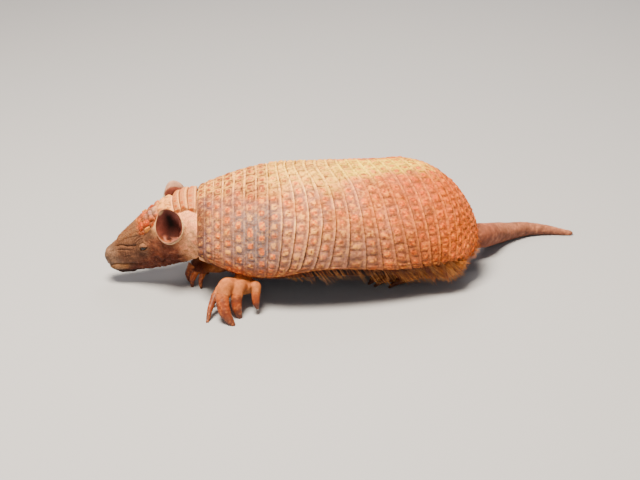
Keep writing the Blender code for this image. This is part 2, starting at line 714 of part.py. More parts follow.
def main():
    for obj in list(bpy.data.objects):
        bpy.data.objects.remove(obj, do_unlink=True)
    animal = new_collection("armadillo")
    cutters = new_collection("cutters")

    horn = material("shell_horn", (0.50, 0.30, 0.19), 0.75)
    skin = material("skin", (0.42, 0.25, 0.17), 0.70)
    claw_horn = material("claw_horn", (0.55, 0.30, 0.18), 0.45)
    eye_black = material("eye", (0.015, 0.010, 0.008), 0.10)

    trunk_cutter = make_trunk("trunk_cutter", cutters, growth=GAP)
    head_cutter = make_head("head_cutter", cutters, growth=GAP)
    finished(make_trunk("trunk", animal), skin)

    finished(make_shell_plate("shoulder_shield", shoulder_rows, animal), horn)
    for number in range(BAND_COUNT):
        pair = band_rows[number : number + 2]
        finished(make_shell_plate(f"band_{number + 1:02d}", pair, animal, step=STEP), horn)
    finished(make_shell_plate("rump_shield", rump_rows, animal), horn)

    head = make_head("head", animal)
    for side in (-1, 1):
        socket = make_eye(side, cutters, growth=GAP)
        socket.name = f"socket_cutter_{socket.name}"
        cut(head, socket)
        finished(make_eye(side, animal), eye_black)
        finished(make_ear(side, animal, head_cutter), skin)
    finished(cut(head, trunk_cutter), skin)
    crown = head_plate_grid(NAPE_START + BAND_GAP, 0.100, 5, CROWN_HALF_TURN, 6)
    finished(plate("head_shield", crown, animal, thickness=0.0016), horn)
    for number in range(NAPE_ROWS):
        finished(make_nape_band(number, animal), horn)

    neck = make_neck("neck", animal)
    finished(cut(neck, trunk_cutter), skin)

    for limb in LIMBS:
        name = f"{limb.kind}foot_{limb.side}"
        foot_cutter = make_foot(f"{name}_cutter", limb, cutters, growth=GAP)
        foot = make_foot(name, limb, animal)
        finished(flattened(cut(foot, trunk_cutter)), skin)
        for claw in make_claws(name, limb, animal, foot_cutter):
            finished(claw, claw_horn)
        leg = make_leg(f"{limb.kind}leg_{limb.side}", limb, animal)
        finished(largest_body(cut(leg, trunk_cutter, foot_cutter)), skin)

    path, radii = tail_path()
    tail = flattened(tube("tail", path, radii, animal, sides=10))
    root_cutter = make_trunk("tail_root_cutter", cutters, growth=0.0012)
    finished(cut(tail, root_cutter), skin)

    for obj in cutters.objects:
        obj.hide_render = True
        obj.display_type = "WIRE"
    centre_on_floor(list(animal.objects))


main()
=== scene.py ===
"""A life-size greater naked-tailed armadillo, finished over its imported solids.

Units are metres, +Z is up, the nose points to -X and the animal's left side faces -Y. A place on
the body is (along, side, height): along the spine towards the tail, out to the right side, and
above the floor. A place on the head is (forward, side, up) from the back of the skull.
"""

import math

import bmesh
import bpy
import numpy as np
from mathutils import Matrix, Vector


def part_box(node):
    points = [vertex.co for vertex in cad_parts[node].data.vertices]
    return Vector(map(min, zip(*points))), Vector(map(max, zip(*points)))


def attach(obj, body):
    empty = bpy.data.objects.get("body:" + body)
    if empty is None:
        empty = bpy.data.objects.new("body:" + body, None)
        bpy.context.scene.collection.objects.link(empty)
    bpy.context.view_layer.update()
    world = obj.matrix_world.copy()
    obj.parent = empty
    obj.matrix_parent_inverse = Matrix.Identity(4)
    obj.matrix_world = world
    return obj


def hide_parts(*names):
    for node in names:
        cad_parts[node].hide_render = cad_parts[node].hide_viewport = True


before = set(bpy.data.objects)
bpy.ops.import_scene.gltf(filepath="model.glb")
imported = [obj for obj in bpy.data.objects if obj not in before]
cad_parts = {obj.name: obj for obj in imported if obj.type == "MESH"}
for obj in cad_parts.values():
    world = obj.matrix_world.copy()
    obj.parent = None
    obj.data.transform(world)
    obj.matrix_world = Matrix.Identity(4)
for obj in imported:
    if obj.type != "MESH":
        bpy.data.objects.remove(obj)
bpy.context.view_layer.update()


# ------------------------------------------------------------------ how the animal stands
# The spine is straight under the shoulders and over the hips and bends to the right between
# them, where the shell has its movable bands. The head is held down in front of the chest.

BEND_RADIUS = 0.50
BEND_START, BEND_END = -0.080, 0.115
HEAD_PITCH, HEAD_ROLL = math.radians(24), math.radians(-4)
HEAD_PLACE = (-0.164, 0.0, 0.0790)
EYE_PLACE = (0.0680, 0.0262, 0.0040)


def through(*knots):
    """A smooth curve through (place, value) pairs, as a function of place. Between two knots
    it is the cubic that meets both values with the slopes found from their neighbours."""
    places, values = np.array(knots, float).T
    slopes = np.gradient(values, places)

    def value_at(place):
        place = np.clip(place, places[0], places[-1])
        i = np.clip(np.searchsorted(places, place) - 1, 0, len(places) - 2)
        width = places[i + 1] - places[i]
        t = (place - places[i]) / width
        rise = t * t * (3 - 2 * t)
        leave = t * (1 - t) ** 2 * width * slopes[i]
        arrive = t * t * (t - 1) * width * slopes[i + 1]
        return values[i] * (1 - rise) + values[i + 1] * rise + leave + arrive

    return value_at


def spine_heading(along):
    """Angle by which the spine has turned: the way along its arc over the arc's radius."""
    return np.clip(along, BEND_START, BEND_END) / BEND_RADIUS


def on_spine(places):
    """(along, side, height) in the world: out from the arc's centre by the radius less side,
    at the heading, and then straight on by what is left of along past the arc's ends."""
    along, side, height = np.moveaxis(np.asarray(places, float), -1, 0)
    heading = spine_heading(along)
    straight = along - heading * BEND_RADIUS
    x = (BEND_RADIUS - side) * np.sin(heading) + straight * np.cos(heading)
    y = BEND_RADIUS - (BEND_RADIUS - side) * np.cos(heading) + straight * np.sin(heading)
    return np.stack([x, y, height], axis=-1)


def head_axes():
    """The head's origin and its forward, right-hand side and up directions: level with the
    spine there, then pitched down and rolled."""
    level = Matrix.Rotation(spine_heading(HEAD_PLACE[0]), 3, "Z")
    tilt = Matrix.Rotation(-HEAD_PITCH, 3, "Y") @ Matrix.Rotation(HEAD_ROLL, 3, "X")
    turned = np.array(level @ tilt)
    return on_spine(HEAD_PLACE), -turned[:, 0], turned[:, 1], turned[:, 2]


def on_head(places):
    """(forward, side, up) in the world: the head's origin plus that much of each direction."""
    origin, forward, side, up = head_axes()
    a, b, c = np.moveaxis(np.asarray(places, float)[..., None], -2, 0)
    return origin + a * forward + b * side + c * up


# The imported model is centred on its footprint, so everything shifts by what its eye has moved.
packed_eye = np.mean(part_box("eye_left"), axis=0)
footing = packed_eye - on_head((EYE_PLACE[0], -EYE_PLACE[1], EYE_PLACE[2]))


# ------------------------------------------------------------------ shoulder shield
# Seven rows of bony scutes, fused edge to edge into one stiff shield and covered with thin
# horn. The rows widen to the rear, each ends in a smooth raised strip, and clay fills the pits.

HALF_WIDTH = through((-0.161, 0.065), (-0.130, 0.079), (-0.080, 0.094), (0.000, 0.101), (0.088, 0.100))
TOP_HEIGHT = through((-0.161, 0.117), (-0.130, 0.129), (-0.080, 0.142), (0.000, 0.142), (0.088, 0.136))
WAIST_HEIGHT = through((-0.161, 0.065), (-0.100, 0.060), (0.000, 0.055), (0.100, 0.048), (0.220, 0.042))
EDGE_HEIGHT = through(
    (-0.161, 0.057), (-0.130, 0.045), (-0.100, 0.039), (-0.070, 0.041),
    (-0.030, 0.050), (0.040, 0.042), (0.090, 0.034), (0.220, 0.030)
)
FLANK_SWEEP = through(
    (-0.161, 0.0), (-0.077, -0.006), (-0.035, -0.022), (-0.008, -0.020),
    (0.020, 0.002), (0.050, 0.010), (0.096, 0.0)
)
CROWN_SWEEP = through(
    (-0.161, 0.0), (-0.077, 0.0), (-0.035, -0.008), (0.000, -0.007), (0.060, -0.004), (0.096, 0.0)
)
RUMP_SWEEP = through((0.070, 0.0), (0.096, -0.004), (0.220, -0.098))
DOME_START, DOME_RADIUS = 0.088, 0.088
EDGE_TURN = math.radians(115)
CROWN_TURN = math.radians(20)
SHELL_FRONT, BAND_FRONT = -0.161, -0.077
SCUTES_ACROSS = 22
SHIELD_ROW_WIDTHS = (9.8, 9.8, 10.9, 12.7, 12.7, 13.8, 14.4)
ARCH = np.linspace(-EDGE_TURN, EDGE_TURN, 441)

# The shell's colours. Pairs are for the front half and for the rump.
BARE_HORN = (0.45, 0.145, 0.042), (0.52, 0.098, 0.005)
CLAY = (0.70, 0.150, 0.018), (0.68, 0.100, 0.003)
DAMP_CLAY = (0.235, 0.062, 0.020), (0.24, 0.040, 0.008)
GOLD_CLAY = (0.84, 0.36, 0.050), (0.80, 0.185, 0.008)
SMOOTH_STRIP = (0.42, 0.165, 0.072), (0.52, 0.125, 0.018)
# The ridges' pale colour: partly wear, partly painted highlight.
WORN_RIDGE_AND_HIGHLIGHT = (0.86, 0.47, 0.19), (0.80, 0.25, 0.040)
PALE_GRIT = (0.88, 0.42, 0.09), (0.80, 0.24, 0.02)
# Painted shade for the grooves, the hollows and the tucked front of each band.
GROOVE_SHADE = (0.085, 0.030, 0.015), (0.120, 0.022, 0.004)
# Grey horn, its strip, and the painted shade in the grooves of grey horn.
GREY_HORN, GREY_STRIP, GREY_GROOVE_SHADE = (0.150, 0.130, 0.155), (0.230, 0.185, 0.205), (0.050, 0.052, 0.075)
# The crown's cream and the crest's yellow are partly painted highlight.
CREAM_HORN_AND_HIGHLIGHT, CREAM_STRIP_AND_HIGHLIGHT = (0.97, 0.65, 0.085), (0.96, 0.62, 0.15)
YELLOW_HORN_AND_HIGHLIGHT, YELLOW_STRIP_AND_HIGHLIGHT = (0.97, 0.78, 0.020), (0.97, 0.70, 0.060)
EDGE_HORN, EDGE_STRIP, EDGE_CLAY = (0.36, 0.088, 0.022), (0.38, 0.115, 0.038), (0.50, 0.085, 0.014)
RIM_HORN, RIM_CLAY = (0.130, 0.052, 0.028), (0.20, 0.060, 0.022)
STRAW_CLAY, UPPER_CLAY = (0.80, 0.42, 0.110), (0.33, 0.085, 0.022)
BROWN_SCUTE, DARK_GRIT = (0.19, 0.085, 0.050), (0.16, 0.052, 0.022)


def bell(value, centre, width):
    """A bell curve: 1 at centre, and 1/e at width to either side of it."""
    return np.exp(-(((value - centre) / width) ** 2))


def row_place(row, turn):
    """Where a row lies at a turn from the top of the back: its place on the upper flank, bowed
    forwards over the crown by a bell curve, splayed on the lower flank by a 1.5 power and, on
    the rump, swept forwards with the square of the turn."""
    low = np.clip((np.abs(turn) / EDGE_TURN - 0.43) / 0.57, 0, None) ** 1.5
    splay = FLANK_SWEEP(row) * low + RUMP_SWEEP(row) * (turn / EDGE_TURN) ** 2
    return row + splay + CROWN_SWEEP(row) * bell(turn, 0, CROWN_TURN)


def shell_places(row, turn, out):
    """The shell's outer face, raised by out. Each section is half an ellipse above the widest
    line and part of a shallower one below it. Behind DOME_START the sections shrink with the
    cosine of the way round the rump."""
    place = row_place(row, turn)
    tilt = np.clip(place - DOME_START, 0, None) / DOME_RADIUS
    along = np.minimum(place, DOME_START) + (DOME_RADIUS + out) * np.sin(tilt)
    waist = WAIST_HEIGHT(place)
    wide = HALF_WIDTH(place) * np.cos(tilt) ** 0.75 + out
    rise = (TOP_HEIGHT(place) - waist) * np.cos(tilt) + out
    drop = (waist - EDGE_HEIGHT(place)) / -math.cos(EDGE_TURN)
    height = waist + np.where(np.cos(turn) > 0, rise, drop) * np.cos(turn)
    return np.stack([along, wide * np.sin(turn), height], axis=-1)


def smooth(start, end, value):
    """0 before start, 1 after end, and 3t^2 - 2t^3 of the way t between them."""
    t = np.clip((value - start) / (end - start), 0, 1)
    return t * t * (3 - 2 * t)


def scatter(*numbers):
    """A fixed random value from 0 to 1 for each set of whole numbers: the fraction of a
    large sine."""
    mixed = sum(n * w for n, w in zip(numbers, (12.9898, 78.233, 37.719, 94.673)))
    value = np.sin(mixed) * 43758.5453
    return value - np.floor(value)


def mottle(points, cell, seed):
    """Random patches, from -0.5 to 0.5, about a cell across: scattered values at the corners
    of a lattice of cells, blended smoothly in between."""
    scaled = np.asarray(points) / cell
    corner = np.floor(scaled)
    share = smooth(0, 1, scaled - corner)
    total = np.zeros(scaled.shape[:-1])
    for step in np.ndindex(2, 2, 2):
        weight = np.prod(np.where(step, share, 1 - share), axis=-1)
        node = corner + step
        total += weight * scatter(node[..., 0], node[..., 1], node[..., 2], seed)
    return total - 0.5


def blend(share, first, second):
    """The colour first turned into second by share, an array of shares or one for all."""
    share = np.clip(np.asarray(share, float), 0, 1)[..., None]
    return np.asarray(first) * (1 - share) + np.asarray(second) * share


def layered(base, *layers):
    """The base colour with layers of (share, colour) painted over it in turn."""
    for share, colour in layers:
        base = blend(share, base, colour)
    return base


def scute_relief(part, across, strip, parity, row_number):
    """Height, dust, painted groove shade, strip and tint over one row of scutes. part runs from
    0 at the row's front to 1 at its rear, across counts scutes. A scute is a rounded rectangle
    with sunken edges, a low dome at its heart and faint furrows along it, and the last share of
    the row, strip, is smooth but for a notch between neighbours. The painted shade darkens the
    sunken edges, the hollow round each heart, the notches and the furrows."""
    across = across + 0.5 * parity
    plate_end = 1 - strip
    a = np.clip(part / plate_end, 0, 1.02) * 2 - 1
    b = (across - np.floor(across)) * 2 - 1
    tint = scatter(np.floor(across), row_number)
    edge = (np.abs(a) ** 5 + np.abs(b) ** 5) ** (1 / 5)
    heart = (np.abs(a * 0.96) ** 3.4 + np.abs(b * 1.04) ** 3.4) ** (1 / 3.4)
    on_strip = smooth(plate_end - 0.03, plate_end + 0.06, part)
    groove = smooth(0.78, 0.98, edge) * (1 - on_strip)
    hollow = smooth(0.56, 0.72, heart) * (1 - 0.6 * groove) * (1 - on_strip)
    notch = smooth(0.80, 0.98, np.abs(b)) * on_strip
    dome = np.clip(1 - (heart / 0.68) ** 2, 0, 1) ** 0.6
    furrow = 0.5 + 0.5 * np.cos(np.pi * b * (4.2 + 2.6 * tint) + 6 * tint)
    plate_height = -0.00050 * groove + (0.00050 + 0.00055 * tint) * dome - 0.00022 * furrow * dome
    strip_height = 0.00005 - 0.00040 * notch
    height = plate_height * (1 - on_strip) + strip_height * on_strip + 0.00016 * (tint - 0.5)
    dust = (1 - smooth(0.46, 0.70, heart)) * (1 - on_strip)
    # Painted shade in the sunken edges, hollows, notches and furrows.
    dark = np.maximum(0.32 * hollow + 0.55 * groove, 0.35 * notch) + 0.36 * furrow * dust
    return height, dust, np.clip(dark, 0, 1), on_strip, tint


def rough_horn(row, turn, dust):
    """Fine lumps of horn and clay, stronger on the hearts of the scutes than between them:
    two sizes of random patches, as a height."""
    where = shell_places(row, turn, 0.0)
    coarse = (0.00030 + 0.00070 * dust) * mottle(where, 0.0031, 8)
    return coarse + 0.0004 * mottle(where, 0.0018, 9)


def shell_regions(row, side, broad, patch):
    """How far a place belongs to each region of the shell, from 0 to 1: the rear, the low
    edges, the bands, the crown of the back and its yellow crest, the upper shoulder, the
    flank, the rim behind the neck, and the bare grey horn of the shoulder and flank."""
    rear = smooth(-0.030, 0.120, row + 0.05 * broad)
    low = smooth(0.72, 0.97, side + 0.12 * patch)
    banded = smooth(-0.090, -0.060, row)
    crown = smooth(0.34, 0.10, side + 0.16 * patch + 0.15 * smooth(-0.02, 0.06, row))
    crown = crown * smooth(0.155, 0.105, row)
    crest = smooth(0.19, 0.07, side + 0.10 * patch) * smooth(-0.010, 0.030, row)
    crest = crest * smooth(0.135, 0.100, row)
    upper = smooth(0.42, 0.22, side + 0.10 * patch) * smooth(-0.075, -0.088, row)
    flank = smooth(0.42, 0.70, side) * banded * (1 - rear)
    rim = smooth(-0.148, -0.156, row)
    grey = smooth(0.28, 0.50, side + 0.25 * patch) * smooth(1.02, 0.88, side) * bell(row, -0.092, 0.048)
    grey = np.maximum(grey, 0.50 * smooth(0.00, 0.25, broad + patch) * (1 - crown) * (1 - 0.8 * rear))
    grey = np.maximum(grey, 0.65 * flank * (1 - 0.5 * low))
    return rear, low, banded, crown, crest, upper, flank, rim, grey


def shell_light(row, side, regions):
    """Painted light and shade: how much lighter or darker each region is painted than its own
    colours, for red, green and blue: a little painted light on the bands' flank and the hip,
    painted shade on the two front rows."""
    rear, _, banded, crown, _, upper, flank, _, _ = regions
    bright_flank = banded * (1 - rear) * smooth(0.62, 0.42, side) * (1 - crown)
    bright_hip = smooth(0.08, 0.15, row) * smooth(0.50, 0.75, side)
    dim = 0.10 * flank * smooth(0.60, 0.80, side) + 0.15 * smooth(0.04, 0.07, row) * smooth(0.11, 0.09, row)
    light = 1 + 0.20 * bright_flank + 0.60 * bright_hip - dim
    front_row = smooth(-0.138, -0.150, row) * (1 - crown)
    upper_shoulder = upper * (1 - banded)
    # The two front rows are darkened as painted shade.
    front_row_shade = 1 - front_row[..., None] * (0.38, 0.30, 0.0)
    return light[..., None] * front_row_shade * (1 - upper_shoulder[..., None] * (0.12, 0.24, 0.0))


def shell_paint(row, turn, dust, dark, strip, ridge, tint):
    """The shell's colours. Bare horn is pinkish tan, cream along the crown, which is partly
    painted highlight, lilac grey on the shoulder's flank and orange brown over the rump and the
    lower edges, where the red clay lies. The clay clings to the scutes' hearts in lumps of
    orange, gold and brown, ridges are paler, partly worn and partly painted highlight, and
    grooves and the tucked front of each band are darker as painted shade. Patches of four sizes
    break all of this up, and shell_light adds painted light and shade by region."""
    side = np.abs(turn) / EDGE_TURN + 0 * row
    where = shell_places(row, turn, 0.0)
    broad = mottle(where, 0.040, 3)
    patch = mottle(where, 0.013, 4)
    fleck = mottle(where, 0.0042, 5)
    grain = mottle(where, 0.0019, 6) + 0.6 * mottle(where, 0.0031, 8)
    regions = shell_regions(row, side, broad, patch)
    rear, low, banded, crown, crest, upper, flank, rim, grey = regions
    dust = smooth(0.40 * grey, 1.0, dust)

    horn_colour = layered(
        blend(rear, *BARE_HORN),
        (0.90 * grey, GREY_HORN),
        # The cream crown and yellow crest are partly painted highlight.
        (0.88 * crown, CREAM_HORN_AND_HIGHLIGHT),
        (0.90 * crest, YELLOW_HORN_AND_HIGHLIGHT),
        (0.80 * low, EDGE_HORN),
        (0.75 * rim * (1 - crown), RIM_HORN),
    )
    clay = layered(
        blend(rear, *CLAY),
        (0.90 * smooth(0.80, 0.90, tint) * (1 - rear), STRAW_CLAY),
        (0.70 * low, EDGE_CLAY),
        (0.80 * upper, UPPER_CLAY),
        (0.70 * rim, RIM_CLAY),
        (0.85 * smooth(-0.06, -0.26, grain), blend(rear, *DAMP_CLAY)),
        (0.75 * smooth(0.06, 0.28, grain), blend(rear, *GOLD_CLAY)),
    )
    pale = layered(
        blend(rear, *SMOOTH_STRIP),
        (grey, GREY_STRIP),
        # Strips on the crown and crest, partly painted highlight.
        (crown, blend(crest, CREAM_STRIP_AND_HIGHLIGHT, YELLOW_STRIP_AND_HIGHLIGHT)),
        (low, EDGE_STRIP),
    )
    held = 0.50 - 0.22 * flank + 0.55 * scatter(np.floor(tint * 997), 2) + fleck + 0.6 * broad + 0.20 * rear
    clay_share = dust * np.clip(held + 0.5 * upper, 0, 1) * (1 - 0.45 * banded * crown)
    # The pale ridges are partly wear and partly painted highlight.
    ridge_share = ridge * (0.60 + 2.0 * fleck - 0.6 * low + 1.2 * broad + patch) * (1 - 0.55 * flank)
    # Painted shade in the grooves and under each band's front.
    groove_shade_share = dark * (0.90 + 1.8 * fleck) * (1 - 0.45 * low) * (1 - 0.30 * flank) * (1 + 0.5 * upper)
    colour = layered(
        horn_colour,
        (clay_share, clay),
        (0.45 * smooth(0.56, 0.60, tint) * smooth(0.68, 0.64, tint), BROWN_SCUTE),
        (strip * (0.50 + fleck), pale),
        (ridge_share, blend(rear, *WORN_RIDGE_AND_HIGHLIGHT)),
        (groove_shade_share, blend(grey, blend(rear, *GROOVE_SHADE), GREY_GROOVE_SHADE)),
        ((0.36 - 0.16 * grey) * smooth(0.08, 0.32, grain), blend(rear, *PALE_GRIT)),
        (0.52 * smooth(-0.08, -0.32, grain), DARK_GRIT),
    )
    colour = colour * shell_light(row, side, regions)
    return np.clip(colour * (1.04 + 0.45 * patch + 0.30 * broad)[..., None], 0.003, 0.97)


def grid_faces(count, columns, rows_close=False, columns_close=False):
    """Quads between the points of a grid, numbered row by row. Rows or columns that close
    also have faces between the last and the first."""
    row, column = np.meshgrid(
        np.arange(count if rows_close else count - 1),
        np.arange(columns if columns_close else columns - 1),
        indexing="ij",
    )
    next_row, next_column = (row + 1) % count, (column + 1) % columns
    corners = ((row, column), (next_row, column), (next_row, next_column), (row, next_column))
    return np.stack([a * columns + b for a, b in corners], -1).reshape(-1, 4)


def mesh_of_faces(name, points, quads, extra_faces=(), marks=None):
    """A mesh from an array of points, an array of faces and a few larger faces, smooth-shaded,
    with an attribute on its points for each of marks: a colour or a single number."""
    mesh = bpy.data.meshes.new(name)
    points = np.asarray(points, float).reshape(-1, 3)
    corners = np.concatenate([quads.ravel(), *[np.asarray(f) for f in extra_faces]]).astype(np.int32)
    sizes = np.array([quads.shape[1]] * len(quads) + [len(f) for f in extra_faces])
    starts = np.concatenate([[0], np.cumsum(sizes)[:-1]]).astype(np.int32)
    mesh.vertices.add(len(points))
    mesh.vertices.foreach_set("co", points.ravel())
    mesh.loops.add(len(corners))
    mesh.loops.foreach_set("vertex_index", corners)
    mesh.polygons.add(len(sizes))
    mesh.polygons.foreach_set("loop_start", starts)
    mesh.update(calc_edges=True)
    mesh.shade_smooth()
    for mark, values in (marks or {}).items():
        put_mark(mesh, mark, values)
    return mesh


def looped_plate(name, points, paint):
    """A closed plate from rows of points that go over its upper face and back under its lower
    one. The rows make a loop that is carried across, and each end of the loop is one face."""
    count, columns = points.shape[:2]
    starts = np.arange(0, count * columns, columns)
    ends = [starts[::-1], starts + columns - 1]
    return mesh_of_faces(name, points, grid_faces(count, columns, rows_close=True), ends, {"paint": paint})


def put_mark(mesh, mark, values):
    """Stores an attribute on the mesh's points: a colour if values come in threes."""
    values = np.asarray(values, np.float32)
    if values.shape[-1] != 3:
        mesh.attributes.new(mark, "FLOAT", "POINT").data.foreach_set("value", values.ravel())
        return
    values = values.reshape(-1, 3)
    values = np.concatenate([values, np.ones((len(values), 1), np.float32)], axis=1)
    mesh.attributes.new(mark, "FLOAT_COLOR", "POINT").data.foreach_set("color", values.ravel())


def placed(name, data):
    """A new object in the scene: a mesh, a light or a camera."""
    thing = bpy.data.objects.new(name, data)
    bpy.context.scene.collection.objects.link(thing)
    return thing


def new_piece(name, mesh, finish, slot, *nodes):
    """A finished piece: it rides on the body and stands for its solids, which it hides."""
    piece = placed(name, mesh)
    mesh.materials.append(finish)
    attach(piece, "root")
    if nodes:
        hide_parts(*nodes)


def arch_plate(name, place, relief, thickness, paint):
    """A closed plate of the shell. The upper face is laid at each row's place, raised by
    relief, and the lower face, at thickness below, has a few of those rows. Near the lower
    edges the plate thins and curls in."""
    fade = smooth(0.965, 1.0, np.abs(ARCH) / EDGE_TURN)
    relief = relief * (1 - 0.6 * fade) - 0.0013 * fade**2
    few = np.unique(np.linspace(0, len(place) - 1, 5).astype(int))[::-1]
    rows = np.concatenate([place, place[few]])
    below = (thickness * np.ones(len(place)))[few, None] * (1 - 0.4 * fade)
    out = np.concatenate([relief, relief[few] - below])
    points = on_spine(shell_places(rows[:, None], ARCH[None, :], out)) + footing
    return looped_plate(name, points, np.concatenate([paint, paint[few] * 0.5]))


def feed(tree, node, inputs):
    """Gives the node's inputs, by name or number, a value or another node's output."""
    for key, value in inputs.items():
        if isinstance(value, bpy.types.NodeSocket):
            tree.links.new(value, node.inputs[key])
        else:
            node.inputs[key].default_value = value


def shader_node(tree, kind, inputs, **settings):
    """A new shader node with these inputs and properties."""
    node = tree.nodes.new(kind)
    for key, value in settings.items():
        setattr(node, key, value)
    feed(tree, node, inputs)
    return node


def mix(tree, share, first, second, blend="MIX"):
    """The colour first turned into second by share."""
    inputs = {0: share, 6: first, 7: second}
    return shader_node(tree, "ShaderNodeMix", inputs, data_type="RGBA", blend_type=blend).outputs[2]


def sums(tree, kind, first, second):
    """One step of arithmetic on two values."""
    return shader_node(tree, "ShaderNodeMath", {0: first, 1: second}, operation=kind).outputs[0]


def object_places(tree):
    """Places in the piece's own metres."""
    return shader_node(tree, "ShaderNodeTexCoord", {}).outputs["Object"]


def speckle(tree, scale, detail):
    """Fine random patches, scale of them to the metre."""
    inputs = {"Vector": object_places(tree), "Scale": scale, "Detail": detail, "Roughness": 0.6}
    return shader_node(tree, "ShaderNodeTexNoise", inputs).outputs[0]


def spread(tree, value, low, high):
    """value stretched so that low gives 0 and high gives 1."""
    return shader_node(tree, "ShaderNodeMapRange", {0: value, 1: low, 2: high}).outputs[0]


def new_finish(name):
    """An empty material, its node tree and its surface shader."""
    finish = bpy.data.materials.new(name)
    finish.use_nodes = True
    return finish, finish.node_tree, finish.node_tree.nodes["Principled BSDF"]


def bumped(tree, surface, height, distance, strength):
    """Adds a fine bump of this distance in metres to the surface."""
    inputs = {"Strength": strength, "Distance": distance, "Height": height}
    feed(tree, surface, {"Normal": shader_node(tree, "ShaderNodeBump", inputs).outputs[0]})


def painted(tree):
    """The colours stored on the mesh."""
    return shader_node(tree, "ShaderNodeAttribute", {}, attribute_name="paint").outputs["Color"]


def grained_finish(name, scale, detail, spots, roughness, shine, bump):
    """The painted colours with a grain over them, scale of its patches to the metre. spots are
    (low, high, share, colour): from low to high in the grain the share of the colour grows.
    bump is the grain's depth in metres and its strength."""
    finish, tree, surface = new_finish(name)
    grain = speckle(tree, scale, detail)
    colour = painted(tree)
    for low, high, share, tone in spots:
        colour = mix(tree, sums(tree, "MULTIPLY", spread(tree, grain, low, high), share), colour, (*tone, 1))
    feed(tree, surface, {"Base Color": colour, "Roughness": roughness, "Specular IOR Level": shine})
    bumped(tree, surface, grain, *bump)
    return finish


def horn_finish():
    """Dull horn over bone: a fine grain of pale dust and dark scratches."""
    spots = ((0.54, 0.80, 0.55, (0.86, 0.38, 0.10)), (0.46, 0.24, 0.75, (0.13, 0.040, 0.016)))
    return grained_finish("clay dusted horn", 1100, 4, spots, 0.60, 0.15, (0.0008, 0.8))


def row_parts(places, edges):
    """For each place along the body, the number of the row of scutes that it is in, from the
    rows' edges, and how far through that row it is."""
    number = np.clip(np.searchsorted(edges, places, side="right") - 1, 0, len(edges) - 2)
    return number[:, None], ((places - edges[number]) / np.diff(edges)[number])[:, None]


def scuted_rows(rows, part, across, strip, parity, number, wander, drift):
    """The relief of rows of scutes and the marks that their paint needs. Random patches move
    the borders: wander is by how much of a row along the body and the patches' seed, and
    drift is by how many scutes across it, the patches' size and seed, and their height."""
    where = shell_places(rows, turns, 0.0)
    amount, seed = wander
    part = np.clip(part + amount * mottle(where, 0.014, seed), 0, 1)
    amount, cell, seed, swell = drift
    patches = mottle(where, cell, seed)
    relief, dust, dark, strip, tint = scute_relief(part, across + amount * patches, strip, parity, number)
    return relief + swell * patches + rough_horn(rows, turns, dust), dust, dark, strip, tint


horn = horn_finish()
turns = ARCH[None, :]
SCUTES_IN_BAND = 31
SHIELD_STRIP = 0.20
shield_across = ARCH / EDGE_TURN * SCUTES_ACROSS / 2
band_across = ARCH / EDGE_TURN * SCUTES_IN_BAND / 2

shield_edges = SHELL_FRONT + np.concatenate([[0], np.cumsum(SHIELD_ROW_WIDTHS)]) * (
    (BAND_FRONT - SHELL_FRONT) / sum(SHIELD_ROW_WIDTHS)
)
shield_rows = np.linspace(SHELL_FRONT, BAND_FRONT - 0.0004, 112)
number, part = row_parts(shield_rows, shield_edges)
rows = shield_rows[:, None]
relief, dust, dark, strip, tint = scuted_rows(
    rows, part, shield_across, SHIELD_STRIP, number % 2, number, (0.16, 1), (0.45, 0.017, 2, 0.0006)
)
ridge = 0.30 * strip * smooth(0.45, 0.15, np.abs(turns) / EDGE_TURN)
front_lip = smooth(SHELL_FRONT, SHELL_FRONT + 0.0030, rows)
rear_drop = smooth(BAND_FRONT - 0.0016, BAND_FRONT - 0.0004, rows)
relief = relief + 0.0016 * (front_lip - 1) - 0.0012 * rear_drop
paint = shell_paint(rows, turns, dust, dark, strip, ridge, tint)
shoulder = arch_plate("shoulder_shield_horn", shield_rows, relief, 0.0022, paint)
new_piece("shoulder_shield_horn", shoulder, horn, "shell_horn", "shoulder_shield")


# ------------------------------------------------------------------ movable bands
# Thirteen rings of scutes over the bend of the back. The front of each slides under the one
# before it. Its scutes fill the front of what shows, and a smooth margin with a ridge ends it.

BAND_COUNT, BAND_PITCH = 13, 0.0133
BAND_TUCK, BAND_STEP, BAND_STRIP = 0.0030, 0.0012, 0.27
RIDGE_SHARES = (1.0, 1.0, 1.0, 0.90, 0.75, 0.5, 0.3, 0.2, 0.2, 0.3, 0.5, 0.75, 0.90)

for band in range(BAND_COUNT):
    front = BAND_FRONT + band * BAND_PITCH
    band_rows = np.linspace(front - BAND_TUCK, front + BAND_PITCH - 0.0003, 25)
    rows = band_rows[:, None]
    part = (rows - front) / BAND_PITCH
    relief, dust, dark, strip, tint = scuted_rows(
        rows, part, band_across, BAND_STRIP, (band + 1) % 2, 11 + band,
        (0.10, 7 + band), (0.5, 0.022, 27 + band, 0.0007),
    )
    slope = BAND_STEP * (0.75 * part - 0.30) - 0.0010 * smooth(0.25, -0.15, part)
    crest = bell(part, 0.90, 0.040)
    rear_drop = 0.0011 * np.clip((part - 0.955) / 0.028, 0, 1) ** 2
    relief = relief + slope + 0.00045 * crest - rear_drop
    shadow = 0.85 * smooth(0.13, 0.0, part)
    ridge = crest * RIDGE_SHARES[band] * smooth(0.06, 0.20, np.abs(turns) / EDGE_TURN)
    paint = shell_paint(rows, turns, dust, np.maximum(dark, shadow), 0.7 * strip, ridge, tint)
    thickness = (0.0026 - 0.0016 * smooth(0.60, 0.80, part))[:, 0]
    name = f"band_{band + 1:02d}"
    plate = arch_plate(f"{name}_horn", band_rows, relief, thickness, paint)
    new_piece(f"{name}_horn", plate, horn, "shell_horn", name)


# ------------------------------------------------------------------ rump shield
# Ten rows of scutes, fused like the shoulder's and narrowing towards the tail, that round off
# the back over the hips. Orange clay lies thickest here.

